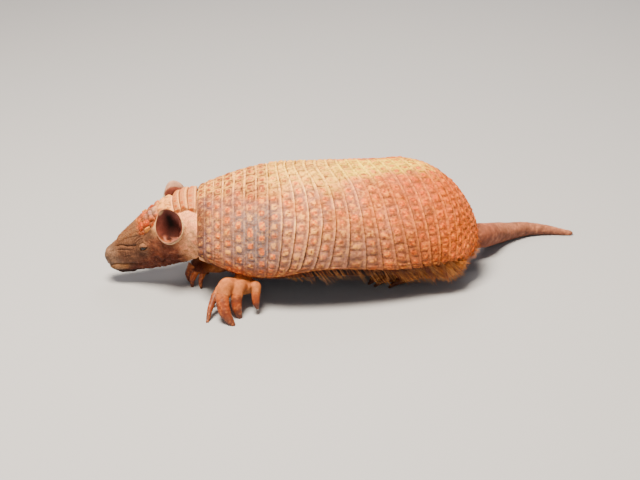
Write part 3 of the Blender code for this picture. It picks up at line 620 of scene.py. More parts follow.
RUMP_FRONT = BAND_FRONT + BAND_COUNT * BAND_PITCH
RUMP_END = DOME_START + DOME_RADIUS * math.radians(86)
RUMP_ROWS, RUMP_NARROWING, RUMP_STRIP = 10, 0.93, 0.24

rump_edges = RUMP_FRONT + (RUMP_END - RUMP_FRONT) * np.linspace(0, 1, RUMP_ROWS + 1) ** RUMP_NARROWING
rump_rows = np.linspace(RUMP_FRONT - BAND_TUCK, RUMP_END, 165)
number, part = row_parts(rump_rows, rump_edges)
rows = rump_rows[:, None]
relief, dust, dark, strip, tint = scuted_rows(
    rows, part, band_across, RUMP_STRIP, number % 2, 31 + number, (0.18, 40), (0.5, 0.017, 41, 0.0006)
)
front_drop = 0.0014 * smooth(RUMP_FRONT + 0.003, RUMP_FRONT - 0.002, rows)
rear_drop = 0.0020 * np.clip((rows - RUMP_END + 0.003) / 0.003, 0, 1) ** 2
ridge = 0.20 * bell(part, 0.88, 0.08)
paint = shell_paint(rows, turns, dust, dark, strip, ridge, tint)
rump = arch_plate("rump_shield_horn", rump_rows, relief - front_drop - rear_drop, 0.0024, paint)
new_piece("rump_shield_horn", rump, horn, "shell_horn", "rump_shield")


# ------------------------------------------------------------------ head shield and nape
# Irregular horny scutes over the top of the head, large on the crown and small and worn smooth
# down the snout, and three short rows across the nape. Their edges grow out of the skin.

HEAD_LENGTH = 0.121
NOSE_ROUNDING = 0.012
HEAD_HALF_WIDTH = through(
    (-0.020, 0.053), (0.000, 0.0475), (0.014, 0.041), (0.030, 0.0366), (0.055, 0.031),
    (0.080, 0.0215), (0.100, 0.0155), (0.121, 0.0105)
)
BROW_HEIGHT = through(
    (-0.020, 0.034), (0.000, 0.036), (0.030, 0.036), (0.055, 0.0315),
    (0.080, 0.0235), (0.100, 0.0165), (0.121, 0.0105)
)
JAW_DEPTH = through(
    (-0.020, 0.038), (0.000, 0.042), (0.030, 0.041), (0.055, 0.0365),
    (0.080, 0.0315), (0.100, 0.0270), (0.113, 0.0215), (0.121, 0.0155)
)
SHIELD_HALF_TURN = through(
    (0.000, math.radians(50)), (0.030, math.radians(38)), (0.055, math.radians(60)),
    (0.085, math.radians(46)), (0.104, math.radians(34))
)
SHIELD_START, SHIELD_END, SHIELD_RISE = 0.0140, 0.0995, 0.0016
COLLAR_HALF_WIDTH, COLLAR_HEIGHT, COLLAR_RISE = 0.050, 0.078, 0.0365
NAPE_ROWS, NAPE_SCUTES, NAPE_START, NAPE_HALF_TURN = 3, 10, 0.013, math.radians(46)
SNOUT_OLIVE, SNOUT_NET, CROWN_TAN = (0.155, 0.078, 0.045), (0.075, 0.040, 0.028), (0.25, 0.078, 0.034)
NAPE_CREAM = (0.66, 0.29, 0.110)


def head_places(forward, turn, out=0.0):
    """The head's skin at a distance forward of the skull's back and a turn from the crown,
    raised by out. Sections are ellipses with a deeper lower half. The last stretch closes to
    a point as the root of one less a power of the way along it."""
    rounding = np.clip((forward - HEAD_LENGTH + NOSE_ROUNDING) / NOSE_ROUNDING, 0, 1)
    closing = np.sqrt(1 - 0.9995 * rounding**3.4)
    wide = HEAD_HALF_WIDTH(forward) * closing + out
    tall = np.where(np.cos(turn) > 0, BROW_HEIGHT(forward), JAW_DEPTH(forward)) * closing + out
    return np.stack([forward + 0 * turn, wide * np.sin(turn), tall * np.cos(turn)], axis=-1)


def pebbles(x, y, seed):
    """Cells of a jittered lattice of unit size: for each place the distance to the nearest
    border between cells and a random value of its own cell."""
    x, y = np.broadcast_arrays(x, y)
    cell_x, cell_y = np.floor(x), np.floor(y)
    near = np.full((3,) + x.shape, 9.0)
    tint = np.zeros(x.shape)
    for step_x in (-1, 0, 1):
        for step_y in (-1, 0, 1):
            a, b = cell_x + step_x, cell_y + step_y
            centre_x = a + 0.5 + 0.62 * (scatter(a, b, seed) - 0.5)
            centre_y = b + 0.5 + 0.62 * (scatter(a, b, seed + 1) - 0.5)
            distance = np.hypot(x - centre_x, y - centre_y)
            closer = distance < near[0]
            near[1] = np.where(closer, near[0], np.minimum(near[1], distance))
            near[0] = np.where(closer, distance, near[0])
            tint = np.where(closer, scatter(a, b, seed + 2), tint)
    return near[1] - near[0], tint


def grid_solid(name, upper, lower, paint):
    """A closed plate between two grids of points, its underside in the colours of its front."""
    points = np.concatenate([upper, lower[::-1]])
    return looped_plate(name, points, np.concatenate([paint, np.repeat(paint[:1], len(lower), axis=0)]))


def crown_paint(forward, turn, tint, rough, groove, small, lump, grit):
    """Olive brown on the snout and tan on the crown, whose scutes are red or gold with clay,
    grey in one patch above each eye and cream towards the nape. Grooves are darkened as painted
    shade."""
    smooth_horn = blend(0.6 * smooth(0.2, 0.02, small), SNOUT_OLIVE + 0 * rough[..., None], SNOUT_NET)
    scutes = layered(
        blend(rough, smooth_horn, CROWN_TAN),
        (smooth(0.25, 0.55, tint + 0.5 * lump) * rough, (0.40, 0.045, 0.005)),
        (smooth(0.70, 0.84, tint) * rough, (0.76, 0.38, 0.070)),
        (0.8 * smooth(0.08, 0.30, lump) * rough, (0.62, 0.125, 0.009)),
        (0.5 * smooth(0.10, 0.34, grit) * rough, (0.66, 0.30, 0.080)),
    )
    grey_patch = bell(forward, 0.040, 0.009) * bell(np.abs(turn), 0.35, 0.20)
    rear = smooth(0.040, 0.026, forward + 0.006 * lump)
    return layered(
        scutes * (1 - rough[..., None] * (0.26, 0.42, 0.38)),
        (0.80 * grey_patch, (0.36, 0.25, 0.24)),
        (0.85 * rear, (0.86, 0.44, 0.145)),
        # Painted shade in the grooves.
        (0.95 * groove * (1 - 0.6 * rear), (0.055, 0.022, 0.014)),
        (0.60 * smooth(-0.05, -0.32, lump), (0.11, 0.036, 0.018)),
    )


def head_shield():
    """The plate over the crown. The cells are about 8 mm across on the crown and 4 mm on the
    snout. Each is a low dome with sunken borders and a rough top, and the plate's own edge
    dips under the skin."""
    forward = np.linspace(SHIELD_START, SHIELD_END, 150)[:, None]
    share = np.linspace(-1, 1, 131)[None, :]
    turn = share * SHIELD_HALF_TURN(forward)
    arc = turn * HEAD_HALF_WIDTH(forward)
    size = 0.0040 + 0.0042 * smooth(0.090, 0.058, forward)
    border, tint = pebbles(forward / size + 3.1, arc / size + 0 * forward, 5)
    small, _ = pebbles(forward / 0.0026, arc / 0.0026, 8)
    rough = smooth(0.068, 0.058, forward) * np.ones_like(share)
    groove = smooth(0.16, 0.02, border) * (0.45 + 0.55 * rough)
    spots = head_places(forward, turn)
    lump = mottle(spots, 0.0032, 21)
    grit = mottle(spots, 0.0013, 22)
    dome = 0.0017 * smooth(0.0, 0.50, border) * (0.30 + 0.70 * rough) * (0.45 + 1.1 * tint)
    relief = dome - 0.0009 * groove + rough * (0.0018 * lump + 0.0009 * grit) + 0.0006 * (1 - rough) * lump
    relief -= (1 - rough) * 0.00040 * smooth(0.25, 0.02, small)
    to_ends = np.minimum(forward - SHIELD_START, SHIELD_END - forward)
    to_sides = (1 - np.abs(share)) * SHIELD_HALF_TURN(forward) * HEAD_HALF_WIDTH(forward)
    held = smooth(0.0, 1.0, np.minimum(to_ends / 0.006, to_sides / 0.005))
    out = SHIELD_RISE + relief * held - 0.0026 * (1 - held) ** 2
    upper = on_head(head_places(forward, turn, out)) + footing
    lower = on_head(head_places(forward, turn, np.minimum(out, SHIELD_RISE) - 0.0018)) + footing
    paint = crown_paint(forward, turn, tint, rough, groove, small, lump, grit)
    return grid_solid("head_shield_horn", upper, lower, paint)


def nape_arcs(turn):
    """Three arcs that the nape's rows run between: two on the back of the skull and one at the
    shell's rim."""
    skull = head_places(np.array([NAPE_START, 0.0])[:, None], turn[None, :], SHIELD_RISE)
    along = np.full_like(turn, SHELL_FRONT - 0.0012)
    height = COLLAR_HEIGHT + COLLAR_RISE * np.cos(turn)
    rim = np.stack([along, COLLAR_HALF_WIDTH * np.sin(turn), height], -1)
    return np.concatenate([on_head(skull), on_spine(rim)[None]]) + footing


def nape_row(number):
    """One short row across the nape. It has ten scutes, with a raised rear lip, and overlaps
    the next row."""
    turn = np.linspace(-1, 1, 181) * NAPE_HALF_TURN
    arcs = nape_arcs(turn)
    part = np.linspace(-0.10, 0.99, 26)
    place = np.clip((number + part) / NAPE_ROWS, 0, 1) * 2
    first = np.minimum(place.astype(int), 1)
    share = (place - first)[:, None, None]
    base = arcs[first] * (1 - share) + arcs[first + 1] * share
    across = np.broadcast_to(turn / NAPE_HALF_TURN * NAPE_SCUTES / 2, (len(part), len(turn)))
    wavering = across + 0.6 * mottle(base, 0.010, 34) + 0.3
    relief, dust, groove, strip, tint = scute_relief(
        np.clip(part, 0, 1)[:, None] + 0 * across, wavering, 0.30, number % 2, 60 + number
    )
    spots = mottle(base, 0.006, 33)
    soft = np.sin(np.pi * np.clip(part, 0, 1))[:, None] ** 0.7
    edge = smooth(1.0, 0.90, np.abs(turn) / NAPE_HALF_TURN)[None, :]
    lift = 0.0008 * smooth(0.0, 0.85, part) - 0.0012 * np.clip((part - 0.90) / 0.09, 0, 1) ** 2
    lift = lift - 0.0014 * smooth(0.12, -0.08, part)
    height = 0.0010 + (relief * 0.80 + lift[:, None] + 0.0013 * (soft + spots)) * edge - 0.0024 * (1 - edge)
    thick = (0.0016 - 0.0008 * smooth(0.6, 0.9, part))[:, None]
    out = np.stack([0 * turn, np.sin(turn), np.cos(turn)], -1)
    upper = base + height[..., None] * out
    lower = base + (height - thick)[..., None] * out
    # The grooves and the front of the row, tucked under the row before, are darkened as painted shade.
    paint = layered(
        blend(np.clip(dust * (0.6 + 0.9 * tint), 0, 1), NAPE_CREAM, (0.46, 0.115, 0.026)),
        (0.55 * strip, (0.80, 0.42, 0.160)),
        (0.85 * groove, (0.19, 0.075, 0.042)),
        (smooth(0.16, 0.0, part)[:, None] + 0 * across, (0.20, 0.070, 0.040)),
        (0.5 * smooth(0.1, 0.4, spots), (0.50, 0.165, 0.085)),
    )
    return grid_solid(f"nape_row_{number + 1}_horn", upper, lower, paint)


new_piece("head_shield_horn", head_shield(), horn, "shell_horn", "head_shield")
for number in range(NAPE_ROWS):
    name = f"nape_row_{number + 1}_horn"
    new_piece(name, nape_row(number), horn, "shell_horn", f"nape_band_{number + 1}")


# ------------------------------------------------------------------ skin
# One leathery skin over the head, neck, belly, legs, feet and tail. It is creased round the
# eyes and along the snout, hangs in folds at the neck, and the shell and claws grow out of it.

EYE_CENTRE = (0.0675, 0.0263, 0.0014)
EYE_RADIUS, EYE_DEPTH, SOCKET_DEPTH = 0.0044, 0.0024, 0.0066
LID_TILT = math.radians(13)
LID_HALF_LENGTH, LID_HALF_HEIGHT = 0.0102, 0.0088
SLIT_HALF_LENGTH, SLIT_ABOVE, SLIT_BELOW = 0.0052, 0.0013, 0.0023
CHEST_SETBACK, CHEST_HALF_WIDTH, CHEST_HEIGHT, CHEST_RISE = 0.030, 0.058, 0.075, 0.033
EAR_PLACE = (0.0245, 0.0315, 0.0030)
EAR_HEIGHT, EAR_WIDTH, EAR_DEPTH = 0.041, 0.034, 0.017
EAR_RISE, EAR_LEAN, EAR_BREADTH = {-1: 0.24, 1: 0.46}, {-1: 0.18, 1: 0.34}, {-1: 1.03, 1: 0.88}
# The far ear's (side 1) back and rim are painted paler than the near ear's, as painted light.
EAR_BACK = {-1: ((0.68, 0.42, 0.22), (0.70, 0.52, 0.31)), 1: ((0.80, 0.66, 0.42), (0.86, 0.78, 0.56))}
EAR_RIM = {-1: (0.30, 0.150, 0.105), 1: (0.82, 0.66, 0.46)}
EAR_FLARE = {-1: 0.0, 1: 0.0040}
EAR_RIDGES = ((0.0030, 3.75, 0.16), (0.0024, 4.35, 0.15), (0.0030, 2.75, 0.24), (0.0016, 5.0, 0.14))
TRUNK_GAP, BODY_CELL, LIMB_CELL = 0.0044, 0.0040, 0.00142
BELLY_HEIGHT = through(
    (-0.161, 0.042), (-0.120, 0.035), (-0.080, 0.029), (0.000, 0.026), (0.120, 0.021), (0.220, 0.022)
)
BELLY_SQUARENESS = through((-0.161, 1.0), (-0.080, 1.0), (0.060, 0.45), (0.220, 0.45))
TAIL_PLACES = (
    (0.138, -0.010, 0.0340), (0.188, -0.018, 0.0285), (0.236, 0.006, 0.0142), (0.288, 0.010, 0.0084),
    (0.337, -0.014, 0.0026)
)
TAIL_RADII = (0.0160, 0.0158, 0.0135, 0.0084, 0.0029)

# Lines on the left half of the face, as (forward, side, up).
MOUTH_LINE = (
    (0.122, 0.000, -0.0068), (0.1185, 0.0068, -0.0068), (0.1110, 0.0122, -0.0070),
    (0.0998, 0.0140, -0.0118), (0.0847, 0.0160, -0.0169), (0.0740, 0.0190, -0.0215)
)
LIP_LINE = ((0.1185, 0.0068, -0.0105), (0.1110, 0.0112, -0.0110), (0.0998, 0.0130, -0.0155))
LIP_STREAK = ((0.1185, 0.0068, -0.0105), (0.1110, 0.0112, -0.0115), (0.0998, 0.0130, -0.0160))
EYE_TO_NOSTRIL = (
    (0.0715, 0.0250, 0.0058), (0.0790, 0.0205, 0.0072), (0.0860, 0.0176, 0.0092),
    (0.0950, 0.0118, 0.0128), (0.1030, 0.0095, 0.0120)
)
UNDER_EYE = (
    (0.1040, 0.0120, 0.0080), (0.0960, 0.0150, 0.0072), (0.0880, 0.0184, 0.0047), (0.0800, 0.0222, 0.0020)
)
SNOUT_SIDE = ((0.0990, 0.0150, 0.0000), (0.0900, 0.0185, -0.0040), (0.0800, 0.0225, -0.0070))
CHEEK_FOLD = (
    (0.0780, 0.0200, -0.0180), (0.0700, 0.0240, -0.0120), (0.0620, 0.0280, -0.0100), (0.0500, 0.0320, -0.0110)
)
TEMPLE_FOLD = ((0.0580, 0.0280, 0.0080), (0.0520, 0.0310, 0.0020), (0.0480, 0.0325, -0.0060))
NOSTRIL, NOSTRIL_SIZE = (0.1135, 0.0072, 0.0062), (0.0022, 0.0020, 0.0013)
NOSTRIL_SLIT = ((0.1120, 0.0085, 0.0078), (0.1080, 0.0108, 0.0092), (0.1045, 0.0125, 0.0080))
NOSE_PAD = (
    (0.1085, 0.0, 0.0160), (0.1075, 0.0085, 0.0120), (0.1060, 0.0140, 0.0030), (0.1080, 0.0140, -0.0040)
)

# Painted shade: near black under the shell, dark brown on the belly, the tail's darker underside and the
# darker hind toes.
SHADED_SKIN, SHADED_BELLY_BROWN = np.array([0.010, 0.004, 0.003]), (0.026, 0.010, 0.007)
TAIL_UNDER_SHADE, TAIL_TAN, TAIL_ROOT = (0.200, 0.082, 0.057), (0.285, 0.124, 0.084), (0.250, 0.086, 0.056)
FORE_TOES, SHADED_HIND_TOES = (0.37, 0.132, 0.046), (0.10, 0.034, 0.016)
FACE_OLIVE, NOSE_GREY = np.array([0.110, 0.052, 0.033]), (0.105, 0.074, 0.060)
# The throat's dark brown is partly painted shade.
CHEEK_RED, SHADED_THROAT_BROWN, LIP_GOLD = (0.235, 0.068, 0.037), (0.088, 0.022, 0.013), (0.30, 0.135, 0.042)
# Pink of the neck, and the painted shade in creases.
NECK_PINK, CREASE_SHADE = (0.92, 0.44, 0.235), (0.036, 0.016, 0.011)


def unit(directions):
    """Directions scaled to length one."""
    return directions / np.maximum(np.linalg.norm(directions, axis=-1, keepdims=True), 1e-12)


def near_line(points, *corners):
    """Distance from each point to a line through corners, and how far along it, from 0 to 1,
    the nearest place is."""
    corners = np.array(corners, float)
    best, where = np.full(points.shape[:-1], 9.0), np.zeros(points.shape[:-1])
    for n in range(len(corners) - 1):
        step = corners[n + 1] - corners[n]
        share = np.clip(((points - corners[n]) @ step) / (step @ step), 0, 1)
        distance = np.linalg.norm(points - corners[n] - share[..., None] * step, axis=-1)
        closer = distance < best
        best = np.where(closer, distance, best)
        where = np.where(closer, (n + share) / (len(corners) - 1), where)
    return best, where


def crease(points, width, *corners, taper=0.25):
    """A furrow along a line, as a share of its full depth: a bell curve across it, fading out
    towards both of its ends."""
    distance, where = near_line(points, *corners)
    ends = smooth(0.0, taper, where) * smooth(1.0, 1.0 - taper, where)
    return bell(distance, 0, width) * ends


def left_half(places):
    """Places on the head, with those on the right mirrored to the left half."""
    return np.abs(places) * (0, 1, 0) + places * (1, 0, 1)


def furrows(value, spacing, sharpness):
    """Evenly spaced furrows: a power of a raised cosine of value."""
    return (0.5 + 0.5 * np.cos(2 * np.pi * value / spacing)) ** sharpness


def face_relief(places):
    """How far the skin of the head stands out or in at (forward, side, up), and how deep in a
    crease it lies. Creases run from the eye to the nostril, along the mouth and round the
    eye; finer ones cross the snout and form a net. The cheek and throat are lumpy."""
    points = left_half(places)
    f, s, u = np.moveaxis(points, -1, 0)
    waver = points + 0.0016 * np.stack([mottle(points, 0.006, k) for k in (51, 52, 53)], -1)
    mouth = crease(points, 0.0009, *MOUTH_LINE, taper=0.06)
    eye_line = crease(waver, 0.0010, *EYE_TO_NOSTRIL, taper=0.12)
    under = crease(waver, 0.0008, *UNDER_EYE)
    third = crease(waver, 0.0008, *SNOUT_SIDE)
    cheek_fold = crease(waver, 0.0011, *CHEEK_FOLD)
    temple = crease(waver, 0.0010, *TEMPLE_FOLD)

    from_eye = np.linalg.norm(waver - np.array(EYE_CENTRE), axis=-1)
    rings = furrows(from_eye, 0.0027, 2) * smooth(0.0065, 0.0080, from_eye) * smooth(0.0230, 0.0110, from_eye)
    rings = rings * (0.45 + 0.55 * smooth(0.060, 0.072, f))
    snout = smooth(0.074, 0.084, f) * smooth(0.112, 0.106, f) * smooth(-0.012, 0.0, u)
    across = furrows(waver[..., 0] + 0.35 * waver[..., 2], 0.0031, 3) * snout
    border, _ = pebbles(f / 0.0031, np.arctan2(s, u) * 0.024 / 0.0031, 61)
    net = smooth(0.22, 0.02, border)
    throat = smooth(-0.006, -0.024, u)
    cheek = smooth(0.074, 0.060, f) * smooth(0.006, -0.004, u)
    lump = mottle(points, 0.0065, 62)
    small = mottle(points, 0.0028, 63)

    from_nostril = np.linalg.norm((points - NOSTRIL) / NOSTRIL_SIZE, axis=-1)
    hole = bell(from_nostril, 0, 1)
    flare = bell(from_nostril, 1.9, 0.7)
    slit = crease(points, 0.0007, *NOSTRIL_SLIT)
    pad = crease(points, 0.0010, *NOSE_PAD)
    lips = bell(near_line(points, *LIP_LINE)[0], 0, 0.0035)

    height = -0.0019 * mouth + 0.0010 * lips - 0.0019 * eye_line - 0.0013 * under - 0.0010 * third
    height = height - 0.0015 * cheek_fold - 0.0012 * temple - 0.00075 * rings - 0.00050 * across
    height = height - 0.00045 * net * (1 - 0.3 * snout) + (0.0007 + 0.0022 * cheek + 0.0020 * throat) * lump
    height = height + (0.00055 + 0.0011 * cheek + 0.0008 * throat) * small
    height = height - 0.0024 * hole + 0.0005 * flare - 0.0009 * slit - 0.0005 * pad
    folds = mouth + 0.9 * eye_line + 0.75 * under + 0.6 * third + 0.8 * cheek_fold + 0.6 * temple
    depth = np.max([np.clip(folds, 0, 1), 0.72 * rings, 0.62 * across, 0.50 * net, hole, 0.7 * slit], axis=0)
    return height, np.clip(depth - 0.5 * small * (cheek + throat), 0, 1)


def outward(points, centres):
    """Unit normals of a closed tube of rings, from the steps along and round it, turned away
    from the middle of each ring."""
    along = np.gradient(points, axis=0)
    around = np.roll(points, -1, axis=1) - np.roll(points, 1, axis=1)
    normal = np.cross(along, around)
    normal *= np.sign(np.sum(normal * (points - centres), axis=-1, keepdims=True))
    return unit(normal)


def ring_tube(name, rings):
    """A closed tube through rings of points, with one face at each end, facing outwards."""
    count, around = rings.shape[:2]
    ends = [np.arange(around)[::-1], np.arange((count - 1) * around, count * around)]
    mesh = mesh_of_faces(name, rings, grid_faces(count, around, columns_close=True), ends)
    faced_outwards(mesh)
    return mesh


def faced_outwards(mesh):
    """Recalculates the mesh's face directions, after merging doubled points."""
    solid = bmesh.new()
    solid.from_mesh(mesh)
    bmesh.ops.remove_doubles(solid, verts=solid.verts, dist=1e-7)
    bmesh.ops.recalc_face_normals(solid, faces=solid.faces)
    solid.to_mesh(mesh)
    solid.free()


def head_rings():
    """The head and neck, from the nose back into the chest. The neck blends from the skull's
    last ring to a ring inside the shell, and loose folds hang round it."""
    turn = np.linspace(0, 2 * np.pi, 260, endpoint=False)
    nose = HEAD_LENGTH - 0.010 * np.linspace(0.0, 1, 22) ** 2.2
    forward = np.concatenate([nose, np.linspace(nose[-1], 0.0, 126)[1:]])[:, None]
    places = head_places(forward, turn[None, :])
    points = on_head(places)
    middle_line = forward * (1, 0, 0)
    normal = outward(points, on_head(middle_line)[:, None, :])
    relief, _ = face_relief(places)
    from_eye = np.linalg.norm(left_half(places) - EYE_CENTRE, axis=-1)
    relief = relief * smooth(0.0040, 0.0090, from_eye) - SOCKET_DEPTH * smooth(0.0068, 0.0052, from_eye)
    head = points + normal * (relief * smooth(0.0, 0.006, forward))[..., None]
    head = under_ear(under_ear(head, -1), 1)

    along = np.full_like(turn, SHELL_FRONT + CHEST_SETBACK)
    height = CHEST_HEIGHT + CHEST_RISE * np.cos(turn)
    chest = on_spine(np.stack([along, CHEST_HALF_WIDTH * np.sin(turn), height], -1))[None]
    share = np.linspace(0, 1, 42)[1:, None]
    neck = points[-1:] * (1 - share[..., None]) + chest * share[..., None]
    way = unit(neck - neck.mean(axis=1, keepdims=True))
    fold = np.sin(share * 9.5 + 1.2 * np.cos(turn) + 0.6) * np.sin(np.pi * np.clip(share * 1.6, 0, 1))
    sag = 0.0012 * fold + 0.0022 * mottle(neck, 0.016, 71) * smooth(0, 0.1, share)
    return np.concatenate([head, neck + way * sag[..., None]]) + footing


def funnel(depth):
    """How wide the ear's funnel is at a depth, as a share of its width at the rim."""
    return 0.30 + 0.70 * np.sin(np.clip(depth, 0, 1) * np.pi / 2) ** 0.9


def under_ear(points, side):
    """The head's points inside one ear's funnel drawn back along it into the funnel's wall,
    so that none stands in the ear. The wall is where the funnel is as wide as the point is
    far from its middle, found by turning the funnel's formula round."""
    base, out, across, lean = ear_axes(side)
    away = points - base
    depth, x, y = away @ out / EAR_DEPTH, away @ across, away @ lean
    wall = np.zeros(depth.shape)
    for _ in range(4):
        reach = np.hypot(x / (EAR_WIDTH / 2), (y - EAR_HEIGHT * EAR_RISE[side] * wall) / (EAR_HEIGHT / 2))
        wall = np.arcsin(np.clip((reach - 0.30) / 0.70, 0, 1) ** (1 / 0.9)) * 2 / np.pi
    held = np.where((reach < 1) & (depth > wall + 0.035), (depth - wall - 0.035) * EAR_DEPTH, 0)
    return points - out * held[..., None]


def eye_turn():
    """The turn from the crown at which the eyes lie on the head."""
    forward, beside, up = EYE_CENTRE
    return math.atan2(beside / HEAD_HALF_WIDTH(forward), up / BROW_HEIGHT(forward))


def lid_height(reach, upper):
    """How far the lids stand out at a distance from the eye's middle: the swell over the ball
    and two folds round it, both stronger on the upper lid."""
    swell = np.sqrt(np.maximum(0.0057**2 - np.minimum(reach, 0.0056) ** 2, 0)) - EYE_DEPTH
    swell = swell - 0.9 * np.maximum(reach - 0.0055, 0) + 0.0009 * upper * bell(reach, 0.0037, 0.0017)
    cover = 0.5 * (swell + np.sqrt(swell**2 + 0.0007**2))
    folds = 0.00085 * bell(reach, 0.0063, 0.00050) + 0.00060 * bell(reach, 0.0081, 0.00045)
    return cover - folds * (0.6 + 0.4 * upper)


def lid_ring(side):
    """The lids of one eye, as a ring of skin. Its section runs from the slit over the swell of
    the eyeball, down through two folds and under the skin of the head, and back beneath."""
    turn = np.linspace(0, 2 * np.pi, 84, endpoint=False)[None, :]
    share = np.concatenate([np.linspace(0, 1, 34), np.linspace(1, 0, 8)[1:]])[:, None]
    below = (np.arange(41) >= 34)[:, None]
    slit_a = SLIT_HALF_LENGTH * np.cos(turn)
    slit_b = np.where(np.sin(turn) > 0, SLIT_ABOVE, SLIT_BELOW) * np.sin(turn)
    slit_b = slit_b * np.abs(np.sin(turn)) ** 0.35
    slit_b = slit_b - 0.0003 * np.cos(turn)
    a = slit_a + (LID_HALF_LENGTH * np.cos(turn) - slit_a) * share
    b = slit_b + (LID_HALF_HEIGHT * np.sin(turn) - slit_b) * share
    reach = np.hypot(a, b)
    ball = np.sqrt(np.maximum(EYE_RADIUS**2 - reach**2, 0.0005**2)) - EYE_DEPTH
    ball = ball - 1.4 * np.maximum(reach - EYE_RADIUS, 0)
    cover = lid_height(reach, smooth(-0.3, 0.5, np.sin(turn)))
    rim = smooth(0.0, 0.11, share)
    height = (ball + 0.00005) * (1 - rim) + cover * rim - 0.0018 * smooth(0.80, 1.0, share) ** 2
    height = np.where(below, (ball - 0.0006) * (1 - share) - 0.0034 * share, height)

    cosine, sine = math.cos(LID_TILT), math.sin(LID_TILT)
    forward = EYE_CENTRE[0] + 0.93 * (a * cosine - b * sine)
    down = side * (eye_turn() - (a * sine + b * cosine) / 0.0272)
    skin = on_head(head_places(forward, down))
    step = 1e-4
    ahead = on_head(head_places(forward + step, down)) - skin
    beside = on_head(head_places(forward, down + step)) - skin
    normal = np.cross(ahead, beside)
    normal *= np.sign(np.sum(normal * (skin - on_head((0.066, 0, 0))), axis=-1, keepdims=True))
    points = skin + unit(normal) * height[..., None] + footing
    mesh = mesh_of_faces("lid", points, grid_faces(*height.shape, rows_close=True, columns_close=True))
    faced_outwards(mesh)
    return mesh


def ear_axes(side):
    """The ear's base, and its outward, across and up directions."""
    _, forward, right, up = head_axes()
    place = on_head((EAR_PLACE[0], side * EAR_PLACE[1], EAR_PLACE[2]))
    out = unit(0.90 * side * right + 0.12 * forward + 0.40 * up)
    lean = up - up.dot(out) * out - EAR_LEAN[side] * forward
    lean = unit(lean - lean.dot(out) * out)
    return place, out, np.cross(lean, out) * side, lean


def bell_round(turn, middle, width):
    """A bell curve on the circle of turns, round a middle turn."""
    return bell((turn - middle + np.pi) % (2 * np.pi) - np.pi, 0, width)


def ear_wall(side, turn, depth, inset):
    """A wall of one ear's funnel, inset from its outer face. Its rim wavers, and the far ear's
    top reaches out further."""
    base, out, across, up = ear_axes(side)
    wavy = 1 + 0.025 * np.sin(3 * turn + 0.7) * depth + 0.018 * np.sin(5 * turn) * depth
    reach = funnel(depth) * wavy
    wide = (EAR_WIDTH / 2 * reach - inset) * np.sin(turn) * EAR_BREADTH[side]
    tall = (EAR_HEIGHT / 2 * reach - inset) * np.cos(turn) + EAR_HEIGHT * EAR_RISE[side] * depth
    lift = EAR_DEPTH * depth + 0.0012 * depth * np.cos(2 * turn + 0.5)
    lift = lift + EAR_FLARE[side] * depth**2 * np.cos(turn)
    return base + out * lift[..., None] + across * wide[..., None] + up * tall[..., None]


def ear_rings(side):
    """One ear, a funnel of thin skin. Outside it widens from its base to the rim as a root of
    the depth. Inside, ridges run down to the canal."""
    turn = np.linspace(0, 2 * np.pi, 88, endpoint=False)[None, :]
    depth = np.linspace(0, 1, 24)[:, None]
    outer = ear_wall(side, turn, depth, 0.0004 * bell(depth, 1, 0.04) + 0 * turn)
    depth = np.linspace(0.992, 0.16, 34)[:, None]
    ridges = sum(size * bell_round(turn, middle, width) for size, middle, width in EAR_RIDGES)
    held = smooth(0.98, 0.72, depth) * smooth(0.10, 0.45, depth)
    thick = 0.0011 + 0.0007 * smooth(0.95, 0.5, depth)
    return np.concatenate([outer, ear_wall(side, turn, depth, thick + ridges * held)]) + footing


def trunk_rings():
    """The trunk under the shell: its back keeps below the plates, and its belly hangs between
    their edges as a power of a sine, with soft folds across it."""
    rows = np.linspace(SHELL_FRONT, RUMP_END, 96)
    arch = np.linspace(-EDGE_TURN, EDGE_TURN, 49)
    back = shell_places(rows[:, None], arch[None, :], -TRUNK_GAP)
    sag = np.linspace(0, np.pi, 42)[1:-1]
    edge = back[:, -1:, :]
    depth = edge[..., 2] - BELLY_HEIGHT(edge[..., 0])
    swing = np.sign(np.cos(sag)) * np.abs(np.cos(sag)) ** BELLY_SQUARENESS(edge[..., 0])
    below = np.empty((len(rows), len(sag), 3))
    below[..., 0] = edge[..., 0]
    below[..., 1] = (edge[..., 1] - 0.002) * swing
    below[..., 2] = edge[..., 2] - depth * np.sin(sag) ** 0.55
    ripple = 0.0006 * np.sin(edge[..., 0] / 0.0021) + 0.0016 * mottle(below, 0.02, 81)
    below[..., 2] += ripple * np.sin(sag)
    return on_spine(np.concatenate([back, below], axis=1)) + footing


def smooth_path(places, fine):
    """A smooth curve through a few places, read where fine counts whole places."""
    steps = np.arange(len(places), dtype=float)
    return np.stack([through(*zip(steps, column))(fine) for column in np.array(places, float).T], -1)


def path_tube(path, radii, around, flat=None):
    """Rings round a path of world points, each square to the path and upright."""
    tangent = unit(np.gradient(path, axis=0))
    level = unit(np.cross(np.array([0.0, 0.0, 1.0]) + 1e-3, tangent))
    up = np.cross(tangent, level)
    turn = np.linspace(0, 2 * np.pi, around, endpoint=False)[None, :, None]
    radii = np.asarray(radii, float).reshape(len(path), -1, 1)
    rings = path[:, None] + radii * (np.sin(turn) * level[:, None] + np.cos(turn) * up[:, None])
    if flat is not None:
        rings[..., 2] = np.maximum(rings[..., 2], flat)
    return rings


